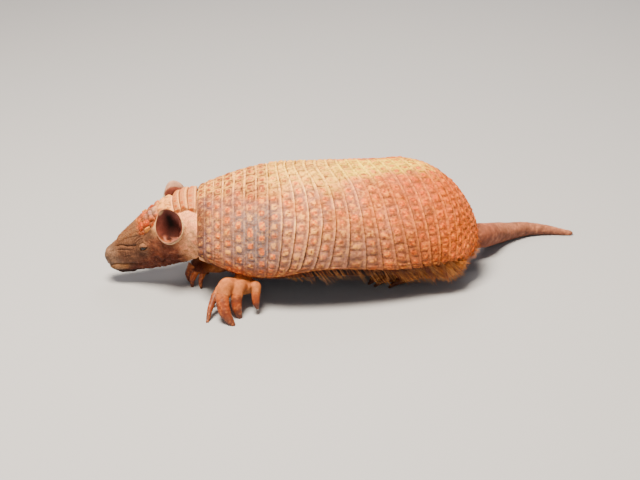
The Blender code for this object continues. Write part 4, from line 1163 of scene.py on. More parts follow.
def tail_rings():
    """The tail, bare but for thin rings of small scales, tapering to a blunt tip on the floor.
    The rings are shallow grooves a few millimetres apart, wavering and broken."""
    fine = np.linspace(0, 4, 214)
    path = on_spine(smooth_path(TAIL_PLACES, fine))
    turn = np.linspace(0, 2 * np.pi, 52, endpoint=False)
    radius = np.interp(fine, range(len(TAIL_RADII)), TAIL_RADII)[:, None]
    tip = np.sqrt(np.clip((4.012 - fine) / 0.10, 0.02, 1))[:, None]
    spots = path[:, None] + radius[..., None] * np.stack([0 * turn, np.sin(turn), np.cos(turn)], -1)
    wander = mottle(spots, 0.010, 91)
    rings = furrows(fine[:, None] * 12 + 0.8 * wander, 1, 5)
    lump = mottle(spots, 0.0045, 92)
    radius = (radius - 0.00048 * rings + 0.0006 * lump + 0.0009 * wander) * tip
    return path_tube(path, radius, 52, flat=0.0002) + footing


LIMBS = {
    "forefoot_left": ((-0.108, -0.036, 0.060), (-0.112, -0.076, 0.0260)),
    "forefoot_right": ((-0.124, 0.030, 0.062), (-0.141, -0.010, 0.0240)),
    "hindfoot_left": ((0.098, -0.045, 0.060), (0.085, -0.040, 0.0085)),
    "hindfoot_right": ((0.080, 0.048, 0.060), (0.055, 0.058, 0.0085)),
}
# Each digit in millimetres from the middle of its palm or sole: where it leaves the palm, its
# knuckle, the base of its claw, the claw's middle and its tip.
LEFT_FORE = (
    ((-14, 4, 0), (-24, 3, -3), (-28, 1, -9), (-32, -2, -17), (-35, -6, -27.5)),
    ((-14, -3, 1), (-22, -8, 0), (-30, -16, -6), (-35, -28, -15.5), (-39, -42.4, -27.5)),
    ((-8, -4, 3), (-16.5, -20, 10), (-20.6, -30, 0.7), (-18, -41, -13.1), (-6.9, -51.4, -27.5)),
    ((4, -4, 2), (-1.6, -16, 6.5), (-4.2, -23, -3), (-4.4, -29, -14.4), (0, -31.7, -27.5)),
    ((14, -2, 0), (18, -13, 5), (17.8, -18.5, -2), (17.8, -22, -11), (19.8, -24, -19)),
)
RIGHT_FORE = (
    ((-8, -8, 0), (-14, -14, -1), (-17, -17, -6), (-19, -18, -14), (-19, -17, -25.5)),
    ((-12, -3, 0), (-20, -7, -1), (-25, -10, -6), (-29, -12, -14), (-30, -12, -25.5)),
    ((-10, 6, 0), (-20, 6, 0), (-27, 5, -5), (-31, 3, -14), (-30, -1, -25.5)),
    ((-2, 10, 1), (-8, 18, 2), (-12, 23, -4), (-14, 25, -12), (-12, 24, -25.5)),
    ((8, 8, 1), (10, 14, 1), (10, 19, -4), (10, 21, -10), (11, 21, -18)),
)
LEFT_HIND = (
    ((-14, 10, -1), (-22, 14, -1), (-27, 14.5, -2), (-32, 14.5, -4), (-38, 14.5, -8)),
    ((-18, 6, 0), (-29, 7, 0), (-35, 7.2, -1), (-41, 7.2, -3), (-48, 7, -8)),
    ((-18, -1, 0), (-32, -1, 0), (-38, -1, -1), (-44, -1, -3), (-52, -1, -8)),
    ((-16, -7, 0), (-28, -9, 0), (-34, -9.2, -1), (-40, -9.2, -3), (-47, -9, -8)),
    ((-6, -11, -1), (-16, -16, -1), (-22, -17.5, -2), (-27, -17.5, -4), (-33, -17.5, -8)),
)
RIGHT_HIND = np.array(LEFT_HIND) * (1, -1, 1)
DIGITS = dict(zip(LIMBS, (LEFT_FORE, RIGHT_FORE, LEFT_HIND, RIGHT_HIND)))
FORE_THICKNESS = (
    (4.8, 4.2, 3.8, 2.9, 0.9), (5.4, 5.0, 4.6, 3.6, 1.0), (8.2, 8.6, 8.4, 7.2, 1.2),
    (6.8, 7.2, 7.0, 6.0, 1.2), (5.6, 5.8, 5.5, 4.5, 1.0)
)
HIND_THICKNESS = ((5.2, 4.6, 3.8, 3.0, 0.8),) * 5
# Half sizes of palm and sole, and the legs' radii at the top, the middle and the wrist.
PALM, SOLE = (0.0208, 0.0123, 0.0103), (0.0248, 0.0143, 0.0092)
FORE_LEG, HIND_LEG = (0.0178, 0.0128, 0.0095), (0.0238, 0.0198, 0.0133)
ABOVE_FLOOR = (-9, -9, 0.0002)


def foot_parts(name):
    """The rings of one leg and foot: a tapering leg, an oval palm or sole, and a tube for the
    flesh of each toe."""
    top, middle = (np.array(place) for place in LIMBS[name])
    fore = name.startswith("fore")
    palm, leg, thickness = (PALM, FORE_LEG, FORE_THICKNESS) if fore else (SOLE, HIND_LEG, HIND_THICKNESS)
    end = middle + (0.0013, math.copysign(0.0047, -top[1]), 0.0036)
    knee = (top + end) / 2 + (0.005, 0, 0)
    fine = np.linspace(0, 2, 40)
    thick = np.interp(fine, range(3), leg)[:, None] * np.ones(48)
    yield path_tube(on_spine(smooth_path([top, knee, end], fine)), thick, 48)

    lean = np.linspace(0, np.pi, 26)[1:-1, None]
    turn = np.linspace(0, 2 * np.pi, 40, endpoint=False)[None, :]
    ball = np.stack([-np.cos(lean) + 0 * turn, np.sin(lean) * np.cos(turn), np.sin(lean) * np.sin(turn)], -1)
    heading = np.array(Matrix.Rotation(spine_heading(middle[0]), 3, "Z"))
    yield np.maximum(ball * palm @ heading.T + on_spine(middle), ABOVE_FLOOR)
    for digit, widths in zip(DIGITS[name], thickness):
        yield toe_rings(middle + np.array(digit[:3]) / 1000, np.array(widths[:3]) / 1000)


def toe_rings(places, radii):
    """The flesh of one toe. It swells at the knuckle, narrows behind the claw and closes just
    past the claw's root."""
    fine = np.linspace(0, 2.10, 30)
    path = on_spine(smooth_path(places, np.minimum(fine, 2)))
    whole = path[fine <= 2]
    step = whole[-1] - whole[-2]
    over = np.clip(fine - 2, 0, None)[:, None]
    path = np.where(over > 0, whole[-1] + step / np.linalg.norm(step) * over * 0.012, path)
    swell = 1 + 0.05 * bell(fine, 1.0, 0.25) - 0.05 * bell(fine, 1.5, 0.2)
    radius = np.interp(fine, range(3), radii) * swell
    radius = radius * np.sqrt(np.clip(1 - (np.clip(fine - 1.85, 0, None) / 0.27) ** 2, 0.02, 1))
    return np.maximum(path_tube(path, radius, 32), ABOVE_FLOOR)


def applied(piece):
    """The piece's mesh with its modifiers applied; the piece itself goes."""
    graph = bpy.context.evaluated_depsgraph_get()
    mesh = bpy.data.meshes.new_from_object(piece.evaluated_get(graph))
    bpy.data.objects.remove(piece, do_unlink=True)
    return mesh


def gathered(name, meshes):
    """One mesh of several closed ones, not yet joined where they meet."""
    solid = bmesh.new()
    for mesh in meshes:
        solid.from_mesh(mesh)
        bpy.data.meshes.remove(mesh)
    whole = bpy.data.meshes.new(name)
    solid.to_mesh(whole)
    solid.free()
    return whole


def melted(name, mesh, cell, rounds):
    """The closed meshes in mesh joined into one skin of small even faces, then smoothed."""
    piece = placed(name, mesh)
    step = piece.modifiers.new("skin", "REMESH")
    step.mode = "VOXEL"
    step.voxel_size = cell
    step.adaptivity = 0.0
    step = piece.modifiers.new("smooth", "SMOOTH")
    step.factor = 0.5
    step.iterations = rounds
    return applied(piece)


limb_parts = [ring_tube("part", rings + footing) for name in LIMBS for rings in foot_parts(name)]
limbs = melted("limbs", gathered("limbs", limb_parts), LIMB_CELL, 4)
body = melted("body", ring_tube("trunk", trunk_rings()), BODY_CELL, 2)
pieces = [
    ring_tube("head", head_rings()), ring_tube("tail", tail_rings()), limbs, body,
    ring_tube("ear", ear_rings(-1)), ring_tube("ear", ear_rings(1)), lid_ring(-1), lid_ring(1),
]
skin_piece = placed("skin", pieces[0])
for mesh in pieces[1:]:
    other = placed("other", mesh)
    step = skin_piece.modifiers.new("join", "BOOLEAN")
    step.operation = "UNION"
    step.solver = "MANIFOLD"
    step.object = other
    graph = bpy.context.evaluated_depsgraph_get()
    joined = bpy.data.meshes.new_from_object(skin_piece.evaluated_get(graph))
    skin_piece.modifiers.clear()
    skin_piece.data = joined
    bpy.data.objects.remove(other, do_unlink=True)


def from_spine(points):
    """(along, side, height) of world points: the heading of the arc's centre line there, kept
    to the arc's ends, and what is left along and across it."""
    x, y, z = np.moveaxis(points - footing, -1, 0)
    heading = np.clip(np.arctan2(x, BEND_RADIUS - y), BEND_START / BEND_RADIUS, BEND_END / BEND_RADIUS)
    left_x = x - BEND_RADIUS * np.sin(heading)
    left_y = y - BEND_RADIUS * (1 - np.cos(heading))
    along = heading * BEND_RADIUS + left_x * np.cos(heading) + left_y * np.sin(heading)
    return np.stack([along, left_y * np.cos(heading) - left_x * np.sin(heading), z], -1)


def from_head(points):
    """(forward, side, up) on the head of world points."""
    origin, *axes = head_axes()
    away = points - footing - origin
    return np.stack([away @ axis for axis in axes], -1)


def from_toes(points):
    """The distance from each world point to the nearest toe's knuckle."""
    nearest = np.full(len(points), 9.0)
    for limb, digits in DIGITS.items():
        for digit in digits:
            knuckle = on_spine(np.array(LIMBS[limb][1]) + np.array(digit[1]) / 1000) + footing
            nearest = np.minimum(nearest, np.linalg.norm(points - knuckle, axis=-1))
    return nearest


def triples(items, what):
    """Three numbers for each item of a mesh, such as the places of its points."""
    values = np.empty(len(items) * 3)
    items.foreach_get(what, values)
    return values.reshape(-1, 3)


def tail_share(body):
    """1 on the tail and 0 elsewhere, by how near the tail's path a place lies."""
    along = body[:, 0]
    near = smooth(0.160, 0.175, along) * smooth(0.024, 0.019, near_line(body, *TAIL_PLACES)[0])
    return np.maximum(near, smooth(0.215, 0.225, along))


def body_paint(body, height, tail, near_toes):
    """Near black under the shell and dark brown on the belly, both painted shade, tan with clay
    on the toes and the tail, whose root is redder and whose underside is darker as painted
    shade. The hind toes are darker than the fore toes, as painted shade."""
    along = body[:, 0]
    path = np.array(TAIL_PLACES)
    above = height - np.interp(along, path[1:, 0], path[1:, 2])
    fore = smooth(-0.06, -0.10, along)
    return layered(
        # Near black under the shell and dark brown low on the belly: painted shade.
        SHADED_SKIN + 0 * body,
        (0.6 * smooth(0.045, 0.030, height), SHADED_BELLY_BROWN),
        # The tail's underside is darker: painted shade.
        (tail, blend(smooth(-0.004, 0.008, above), TAIL_UNDER_SHADE, TAIL_TAN)),
        (0.85 * smooth(0.245, 0.205, along) * tail, TAIL_ROOT),
        # The hind toes are darker than the fore toes: painted shade.
        (near_toes, blend(fore, SHADED_HIND_TOES, FORE_TOES)),
    )


def face_paint(head, body, height, broad, patch):
    """The face is olive brown, lighter on top of the snout as painted highlight, greyer on the
    nose and red brown on the cheek and throat; the jaw and throat darken below to brown that is
    partly painted shade. The crown's border, the collar and the neck are pale pink with rosy
    patches. A pale ring round each eye is partly the lids' colour and partly painted highlight."""
    f, _, u = head.T
    along = body[:, 0]
    small_lump = mottle(left_half(head), 0.0028, 63) + patch + 0.1
    cheek = smooth(0.068, 0.056, f) * smooth(0.012, 0.000, u)
    lip = bell(near_line(left_half(head), *LIP_STREAK)[0], 0, 0.0038)
    neck = smooth(0.012, -0.004, f) * smooth(-0.150, -0.157, along) * smooth(0.034, 0.046, height)
    collar = smooth(0.034, 0.010, f + 0.012 * patch) * smooth(-0.054, -0.042, u - 0.5 * np.maximum(f, 0))
    near_rim = smooth(-0.186, -0.170, along + 0.010 * patch) * smooth(0.026, 0.036, height)
    rosy = smooth(0.05, 0.35, patch + 0.5 * broad) * np.max([neck, collar, near_rim], axis=0)
    under = smooth(-0.022, -0.032, u + 0.006 * patch + 0.022 * smooth(0.022, 0.002, f))
    face = layered(
        FACE_OLIVE + 0 * head,
        # Lighter on top of the snout: painted highlight.
        (0.75 * smooth(0.000, 0.018, u) * smooth(0.066, 0.080, f), (0.170, 0.085, 0.050)),
        (smooth(0.095, 0.110, f + 0.006 * patch), (0.150, 0.092, 0.066)),
        (0.6 * smooth(0.113, 0.118, f), NOSE_GREY),
        # Darker red brown below the middle of the face: partly the skin's colour, partly painted shade.
        (smooth(-0.002, -0.016, u + 0.012 * patch) * smooth(0.090, 0.070, f), (0.115, 0.032, 0.018)),
        (0.75 * cheek * (0.8 + 0.9 * patch), CHEEK_RED),
        (0.25 * cheek * smooth(0.1, 0.5, small_lump), (0.22, 0.080, 0.040)),
        # The throat darkens to brown: partly painted shade.
        (smooth(-0.010, -0.022, u + 0.010 * broad), SHADED_THROAT_BROWN),
        (0.6 * lip, LIP_GOLD),
        (smooth(0.052, 0.035, f) * smooth(0.006, 0.018, u), (0.84, 0.45, 0.200)),
        (neck, NECK_PINK),
        (0.9 * collar, (0.90, 0.43, 0.225)),
        (0.9 * near_rim, (0.88, 0.44, 0.220)),
        (0.45 * rosy, (0.66, 0.215, 0.120)),
        # Brown again under the jaw: partly painted shade.
        (under * smooth(0.075, 0.05, f) * (1 - near_rim), SHADED_THROAT_BROWN),
    )
    from_eye = np.linalg.norm(left_half(head) - EYE_CENTRE, axis=-1)
    # A pale ring round the eye: partly the lids' colour, partly painted highlight.
    lid_rim_and_highlight = bell(from_eye, 0.0060, 0.0030)
    return face, lid_rim_and_highlight


def ear_paint(side, points, patch, fleck):
    """One ear's colours, whether each point lies in it, and how far inside its cup. The cup is
    dark red brown, darker with depth, lighter on the front wall, black down the canal and
    furrowed with pink at its foot, dark between the furrows; the darkening with depth, down the
    canal and between the furrows is partly painted shade, and the whole cup is darkened again as
    painted shade. Its rim and back are paler, the far ear's paler still as painted light."""
    base, out, across, lean = ear_axes(side)
    away = points - footing - base
    depth = np.clip(away @ out / EAR_DEPTH, 0, 1.1)
    x, y = away @ across / EAR_BREADTH[side], away @ lean - EAR_HEIGHT * EAR_RISE[side] * depth
    turn = np.arctan2(x, y)
    round_it = np.hypot(x / (EAR_WIDTH / 2 * funnel(depth)), y / (EAR_HEIGHT / 2 * funnel(depth)))
    inside = smooth(0.975, 0.945, round_it)
    x, lower = x / EAR_WIDTH, smooth(-0.02, -0.22, y / EAR_HEIGHT)
    front_wall = smooth(-0.02, -0.38, x) * smooth(0.25, 0.70, depth)
    canal = bell(x, 0.03, 0.15) * smooth(-0.40, -0.24, y / EAR_HEIGHT) * smooth(0.84, 0.55, depth)
    rows = 0.5 + 0.5 * np.cos(25 * x + 4 * patch)
    gold = bell_round(turn, 2.75, 0.60) * smooth(0.45, 0.8, depth)
    fold = bell_round(turn, 4.0, 0.5) * smooth(0.4, 0.8, depth) * (0.6 + 1.2 * fleck)
    # Darker with depth, black down the canal and dark between the furrows: partly painted shade.
    cup = layered(
        blend(smooth(0.25, 0.70, depth), (0.095, 0.028, 0.022), (0.200, 0.068, 0.050)),
        (0.80 * front_wall, (0.54, 0.235, 0.170)),
        (0.96 * canal, (0.006, 0.002, 0.003)),
        (0.85 * lower * rows**2, (0.72, 0.340, 0.220)),
        (0.75 * lower * (1 - rows), (0.050, 0.015, 0.012)),
        (smooth(0.78, 0.97, depth), (0.33, 0.125, 0.078)),
        (0.85 * gold, (0.44, 0.170, 0.052)),
        (0.60 * fold, (0.34, 0.150, 0.115)),
    )
    root, tip = EAR_BACK[side]
    back = blend(smooth(0.25, 0.8, depth), root, tip)
    back = blend(0.7 * smooth(0.004, -0.012, y), back, np.multiply(root, 0.72))
    shade = layered(back, (inside, cup), (0.85 * smooth(0.93, 0.985, depth), EAR_RIM[side]))
    # The whole cup is darkened again as painted shade.
    return shade * (1 - inside[:, None] * (0.42, 0.52, 0.45)), (round_it < 1.12) & (depth > 0.06), inside


def skin_paint(points):
    """The skin's colours, by where it lies: the body's, the face's over them and the ears' over
    those, broken by patches of three sizes and with flecks of dust on all but the ears' cups
    and what lies under the shell."""
    head, body, height = from_head(points), from_spine(points), points[:, 2]
    broad = mottle(points, 0.022, 101)
    patch = mottle(points, 0.0075, 102)
    fleck = mottle(points, 0.0026, 103)
    tail = tail_share(body)
    near_toes = smooth(0.026, 0.018, from_toes(points))
    on_the_head = smooth(-0.145, -0.160, body[:, 0]) * (height > 0.020)
    face, lid_rim_and_highlight = face_paint(head, body, height, broad, patch)
    colour = layered(
        body_paint(body, height, tail, near_toes),
        (on_the_head, face),
        # The pale lid ring, partly painted highlight.
        (0.35 * on_the_head * lid_rim_and_highlight, (0.24, 0.130, 0.078)),
        # Creases, nostrils and the rings round the eyes are darkened as painted shade.
        (0.70 * on_the_head * face_relief(head)[1], CREASE_SHADE),
    )
    clean = (1 - tail) * (1 - on_the_head) * (1 - near_toes)
    for side in (-1, 1):
        shade, ear, inside = ear_paint(side, points, patch, fleck)
        ear = ear & (side * head[:, 1] > 0.02)
        colour = np.where(ear[:, None], shade, colour)
        clean = np.maximum(clean, ear * inside)
    colour = colour * (1 + 0.35 * broad + 0.45 * patch + 0.50 * fleck)[:, None]
    dusty = smooth(0.18, 0.45, fleck + 0.5 * patch) * (1 - clean) * (1 - 0.6 * on_the_head)
    return np.clip(blend(0.22 * dusty, colour, (0.74, 0.32, 0.14)), 0.004, 0.95)


def skin_finish():
    """Dull creased leather: the painted colours, a fine net of scales and a grain of dust."""
    finish, tree, surface = new_finish("creased skin")
    grain = speckle(tree, 1500, 4)
    scales = {"Vector": object_places(tree), "Scale": 620}
    net = shader_node(tree, "ShaderNodeTexVoronoi", scales, feature="DISTANCE_TO_EDGE")
    lines = spread(tree, net.outputs["Distance"], 0.0, 0.12)
    colour = mix(tree, spread(tree, grain, 0.54, 0.80), painted(tree), (1.9, 1.7, 1.5, 1), "MULTIPLY")
    colour = mix(tree, spread(tree, grain, 0.46, 0.24), colour, (0.50, 0.42, 0.38, 1), "MULTIPLY")
    feed(tree, surface, {"Base Color": colour, "Roughness": 0.62, "Specular IOR Level": 0.12})
    feed(tree, surface, {"Subsurface Weight": 0.05, "Subsurface Radius": (0.004, 0.0015, 0.0008)})
    relief = sums(tree, "ADD", sums(tree, "MULTIPLY", lines, 0.7), grain)
    bumped(tree, surface, relief, 0.0005, 0.6)
    return finish


skin_mesh = joined
bpy.data.objects.remove(skin_piece, do_unlink=True)
skin_mesh.materials.clear()
skin_spots = triples(skin_mesh.vertices, "co")
put_mark(skin_mesh, "paint", skin_paint(skin_spots))
skin_mesh.shade_smooth()
flesh = ["head", "neck", "trunk", "tail", "ear_left", "ear_right"]
limb_kinds = ("foreleg", "forefoot", "hindleg", "hindfoot")
flesh += [f"{kind}_{side}" for kind in limb_kinds for side in ("left", "right")]
new_piece("skin_of_body", skin_mesh, skin_finish(), "skin", *flesh)


# ------------------------------------------------------------------ eyes
# Small dark eyes set behind half-closed lids. Each is a ball with a clear bulging cornea over
# a brown iris with a wide black pupil.

PUPIL, IRIS, EYE_WHITE = (0.003, 0.002, 0.002), (0.022, 0.009, 0.005), (0.016, 0.008, 0.006)


def eyeball(side):
    """A ball whose front third bulges, as a grid of latitudes from the pupil to the back.
    Colour goes by latitude: pupil, iris and then the dark white of the eye."""
    angle = np.linspace(0, np.pi, 30)[:, None]
    turn = np.linspace(0, 2 * np.pi, 40, endpoint=False)[None, :]
    radius = (EYE_RADIUS - 0.0001) * (1 + 0.06 * smooth(0.75, 0.15, angle))
    axis = unit(np.array([0.34, side * 0.935, 0.10]))
    level = unit(np.cross(axis, [0, 0, 1.0]))
    upright = np.cross(level, axis)
    across = np.cos(turn)[..., None] * level + np.sin(turn)[..., None] * upright
    ball = radius[..., None] * (np.cos(angle)[..., None] * axis + np.sin(angle)[..., None] * across)
    surface = head_places(np.array(EYE_CENTRE[0]), np.array(side * eye_turn()))
    points = on_head(surface - axis * EYE_DEPTH + ball) + footing
    paint = blend(smooth(0.40, 0.50, angle) + 0 * turn, PUPIL, IRIS)
    paint = blend(smooth(0.78, 0.86, angle) + 0 * turn, paint, EYE_WHITE)
    faces = grid_faces(*points.shape[:2], columns_close=True)
    mesh = mesh_of_faces("eye", points, faces, marks={"paint": paint})
    faced_outwards(mesh)
    return mesh


def wet_finish():
    """The painted colours under a thin clear film."""
    finish, tree, surface = new_finish("wet eye")
    feed(tree, surface, {"Base Color": painted(tree), "Roughness": 0.22, "Specular IOR Level": 0.3})
    feed(tree, surface, {"Coat Weight": 0.25, "Coat Roughness": 0.04})
    return finish


wet = wet_finish()
for side, name in ((-1, "left"), (1, "right")):
    new_piece(f"eyeball_{name}", eyeball(side), wet, "eye", f"eye_{name}")


# ------------------------------------------------------------------ claws
# Heavy curved digging claws on the fore feet, the third the largest, and small blunt ones on
# the hind feet. Each grows out of its toe with a keel above, a hollow below and worn edges.

HIND_SHADE = 0.45


def claw_path(name, digit, fine):
    """The middle line of one claw, from inside its toe through its base and middle to its tip,
    with the directions along it, over its back and beside it."""
    places = np.array(LIMBS[name][1]) + np.array(digit) / 1000
    root = places[2] + (places[2] - places[3]) * 0.16
    path = on_spine(smooth_path([root, places[3], places[4]], fine))
    tangent = unit(np.gradient(path, axis=0))
    chord = unit(path[-1] - path[0])
    halfway = path[len(path) // 2] - path[0]
    bow = halfway - chord * (halfway @ chord)
    above = bow / max(np.linalg.norm(bow), 1e-6) + np.array([0.0, 0.0, 0.9])
    above = unit(above - tangent * (tangent @ above)[:, None])
    return path, above, np.cross(tangent, above)


def claw(name, number, digit, widths):
    """One claw. Its section is an oval with a keel above and a flatter, hollowed underside; its
    thickness falls off slowly and then closes to a blunt end. Growth lines and chips roughen
    it, and its colour darkens from the toe to the tip."""
    fine = np.linspace(0, 2, 46)
    path, above, beside = claw_path(name, digit, fine)
    _, _, root, middle, tip = np.array(widths) / 1000
    thick = np.interp(fine, [0, 1, 1.6, 2], [root * 0.99, middle * 1.02, middle * 0.66, tip * 1.5])
    thick = thick * np.sqrt(np.clip((2.006 - fine) / 0.10, 0.01, 1))
    turn = np.linspace(0, 2 * np.pi, 36, endpoint=False)[None, :]
    keel = 1 + 0.07 * bell(turn, 0, 0.30)
    hollow = 1 - 0.30 * smooth(0.55, 1.5, fine)[:, None] * bell(turn, np.pi, 0.62)
    height = np.where(np.cos(turn) < 0, 0.80, 1.0) * np.cos(turn) * hollow * keel
    width = np.sign(np.sin(turn)) * np.abs(np.sin(turn)) ** 0.88 * 0.96
    section = height[..., None] * above[:, None] + width[..., None] * beside[:, None]
    section = thick[:, None, None] * section
    points = path[:, None] + section
    lump = mottle(points, 0.0042, 111 + number)
    chip = mottle(points, 0.0016, 112 + number)
    lines = np.cos(2 * np.pi * (fine[:, None] * 5.5 + 1.5 * lump))
    swell = 1 + 0.070 * lump + 0.045 * chip + 0.016 * lines
    points = path[:, None] + section * swell[..., None] + footing
    points[..., 2] = np.maximum(points[..., 2], 0.0)

    broad = mottle(points, 0.0075, 113)
    paint = layered(
        blend(smooth(0.1, 0.5, fine[:, None] + 0 * turn), (0.36, 0.100, 0.024), (0.165, 0.028, 0.007)),
        (0.75 * smooth(-0.02, -0.22, broad), (0.085, 0.020, 0.013)),
        (0.65 * smooth(0.08, 0.30, broad), (0.30, 0.064, 0.014)),
        (0.80 * smooth(0.85, 1.75, fine[:, None] + 0.9 * broad), (0.075, 0.028, 0.020)),
        (0.60 * smooth(0.08, 0.34, chip), (0.44, 0.140, 0.040)),
        (0.60 * smooth(-0.08, -0.34, chip), (0.095, 0.026, 0.016)),
    )
    mesh = ring_tube("claw", points)
    put_mark(mesh, "paint", paint * (1.0 if name.startswith("fore") else HIND_SHADE))
    return mesh


def claw_finish():
    """Worn horn: fine dark and pale streaks and a low shine."""
    spots = ((0.46, 0.24, 0.45, (0.12, 0.040, 0.025)), (0.55, 0.78, 0.30, (0.50, 0.24, 0.10)))
    return grained_finish("worn claw horn", 900, 5, spots, 0.48, 0.25, (0.0004, 0.5))


claw_horn = claw_finish()
for name, digits in DIGITS.items():
    widths = FORE_THICKNESS if name.startswith("fore") else HIND_THICKNESS
    for number in range(5):
        mesh = claw(name, number, digits[number], widths[number])
        node = f"{name}_claw_{number + 1}"
        new_piece(f"{node}_horn", mesh, claw_horn, "claw_horn", node)


# ------------------------------------------------------------------ hair
# Coarse hair grows from the skin: a fringe below the shell's edges, thick and golden over the
# hips, short fuzz between the scutes of the rump, and thin hair on belly, legs and cheeks.

RING_STATIONS = np.array([0.0, 0.30, 0.60, 0.85])
PATCH = 0.003
GOLD, STRAW = np.array([0.74, 0.260, 0.032]), np.array([0.74, 0.38, 0.120])
UMBER, DARK_HAIR = np.array([0.105, 0.026, 0.009]), (0.12, 0.034, 0.012)
HIP_TUFTS, TUFT_HAIRS = 250, 22
EDGE_HAIRS, EDGE_FUZZ = 230, 600
RUMP_HAIRS, MARGIN_HAIRS, BAND_HAIRS = 6600, 1500, 1700
UNDER_HAIRS, CHEEK_HAIRS = 5200, 1500


def spike_faces():
    """The triangles of one closed spike: its root, three bands of its side and its point."""
    faces = [(0, 2, 1)]
    for ring in range(0, 9, 3):
        for a, b in ((0, 1), (1, 2), (2, 0)):
            faces += [(ring + a, ring + b, ring + b + 3), (ring + a, ring + b + 3, ring + a + 3)]
    return np.array(faces + [(9, 10, 12), (10, 11, 12), (11, 9, 12)])


def tufts(name, roots, outward, lie, curl, length, width, paint, unwrapped):
    """A piece of many closed spikes. A spike's axis leaves its root along lie and bends by
    curl with the square of the way; three-sided rings round it thin to a single point. paint
    is the colours at root and tip, and each spike is a small patch of the unwrapped skin."""
    count = len(roots)
    steps = np.append(RING_STATIONS, 1.0)[None, :, None]
    beside = unit(np.cross(lie, outward))
    above = np.cross(beside, lie)
    length, width = length[:, None, None], width[:, None, None, None]
    path = roots[:, None] + length * (lie[:, None] * steps + curl[:, None] * steps**2)
    turn = (np.arange(3) * 2 * np.pi / 3)[None, None, :, None]
    thin = (1 - 0.75 * RING_STATIONS**1.5)[None, :, None, None] * width
    away = np.cos(turn) * beside[:, None, None] + np.sin(turn) * above[:, None, None]
    rings = path[:, :4, None] + thin * away
    points = np.concatenate([rings.reshape(count, 12, 3), path[:, 4:]], axis=1)
    points[..., 2] = np.maximum(points[..., 2], 0.0003)
    faces = (np.arange(count)[:, None, None] * 13 + spike_faces()).reshape(-1, 3)
    share = np.append(np.repeat(RING_STATIONS, 3), 1.0)
    root, tip = (np.broadcast_to(colour, (count, 3))[:, None] for colour in paint)
    mesh = mesh_of_faces(name, points, faces, marks={"paint": blend(share[None], root, tip)})

    across = np.append(np.tile([0.0, 0.5, 1.0], 4), 0.5) - 0.5
    places = unwrapped[:, None] + np.stack([across, share - 0.5], -1)[None] * PATCH
    corners = np.empty(len(mesh.loops), np.int32)
    mesh.loops.foreach_get("vertex_index", corners)
    unwrap = mesh.uv_layers.new(name="OFBake")
    unwrap.data.foreach_set("uv", places.reshape(-1, 2)[corners].ravel())
    new_piece(name, mesh, hair, "skin")


def wavy(points, amount, seed):
    """Directions that wander from place to place, so that neighbouring hairs lean together."""
    together = np.stack([mottle(points, 0.0065, seed + k) for k in range(3)], -1)
    return amount * (together * 1.5 + 0.30 * np.random.default_rng(seed).normal(size=points.shape))


def shell_frame(row, turn, out):
    """Places on the shell, and the directions rearwards, down and outwards there."""
    here = on_spine(shell_places(row, turn, out)) + footing
    back = unit(on_spine(shell_places(row + 3e-4, turn, out)) + footing - here)
    down = unit(on_spine(shell_places(row, turn + 2e-3 * np.sign(turn), out)) + footing - here)
    normal = unit(np.cross(back, down))
    middle = on_spine(np.stack([row, 0 * row, 0 * row + 0.065], -1)) + footing
    normal *= np.sign(np.sum(normal * (here - middle), axis=-1, keepdims=True))
    return here, back, down, normal


def shell_patch(row, turn):
    """Where a place on the shell falls on its unwrap: along the body and round it."""
    return np.stack([0.05 + 0.9 * (row + 0.165) / 0.39, 0.5 + 0.45 * turn / EDGE_TURN], -1)


def hair_finish():
    """The painted colours with fine lighter streaks and a low sheen."""
    finish, tree, surface = new_finish("coarse hair")
    streaks = spread(tree, speckle(tree, 500, 2), 0.35, 0.65)
    colour = mix(tree, streaks, painted(tree), (1.35, 1.25, 1.1, 1), "MULTIPLY")
    feed(tree, surface, {"Base Color": colour, "Roughness": 0.50, "Specular IOR Level": 0.4})
    return finish


def hip_hair(name, side, chance):
    """The golden fur that hangs over one hip, in tufts whose hairs lean together to a point.
    It is longest halfway along, and turns rearwards towards the tail."""
    row = 0.020 + 0.128 * chance.random(HIP_TUFTS) ** 0.85
    turn = 1.0 - 0.17 * chance.random(HIP_TUFTS) * smooth(0.03, 0.08, row)
    tone = chance.random(HIP_TUFTS)
    hanging = smooth(0.015, 0.050, row) * smooth(0.150, 0.105, row)
    reach = (0.0095 + 0.0200 * hanging) * (0.75 + 0.45 * chance.random(HIP_TUFTS))
    row, turn, tone, reach = (np.repeat(value, TUFT_HAIRS) for value in (row, turn, tone, reach))
    apart = chance.normal(size=(len(row), 2)) * 0.0015
    turn = side * EDGE_TURN * turn
    middle, back, down, normal = shell_frame(row, turn, -0.0012)
    here = middle + apart[:, :1] * back + apart[:, 1:] * down
    to_rear = smooth(0.04, 0.15, row)[:, None]
    lean = (0.35 + 0.55 * to_rear) * back + (0.95 - 0.25 * to_rear) * down
    lean = unit(lean + 0.34 * normal + wavy(middle, 0.50, 120))
    close = (middle - here) / reach[:, None]
    lie = unit(lean + 0.85 * close + 0.05 * chance.normal(size=here.shape))
    long = reach * (0.80 + 0.30 * chance.random(len(row)))
    light = blend(smooth(0.10, 0.75, tone), UMBER * 1.8, GOLD)
    light = blend(smooth(0.72, 0.92, tone), light, STRAW * 1.1)
    wide = 0.00022 + 0.00010 * chance.random(len(row))
    curl = -0.20 * normal + 0.12 * back
    paint, unwrapped = (UMBER * 0.7, light), shell_patch(row, turn)
    tufts(f"hip_{name}_hair", here, normal, lie, curl, long, wide, paint, unwrapped)


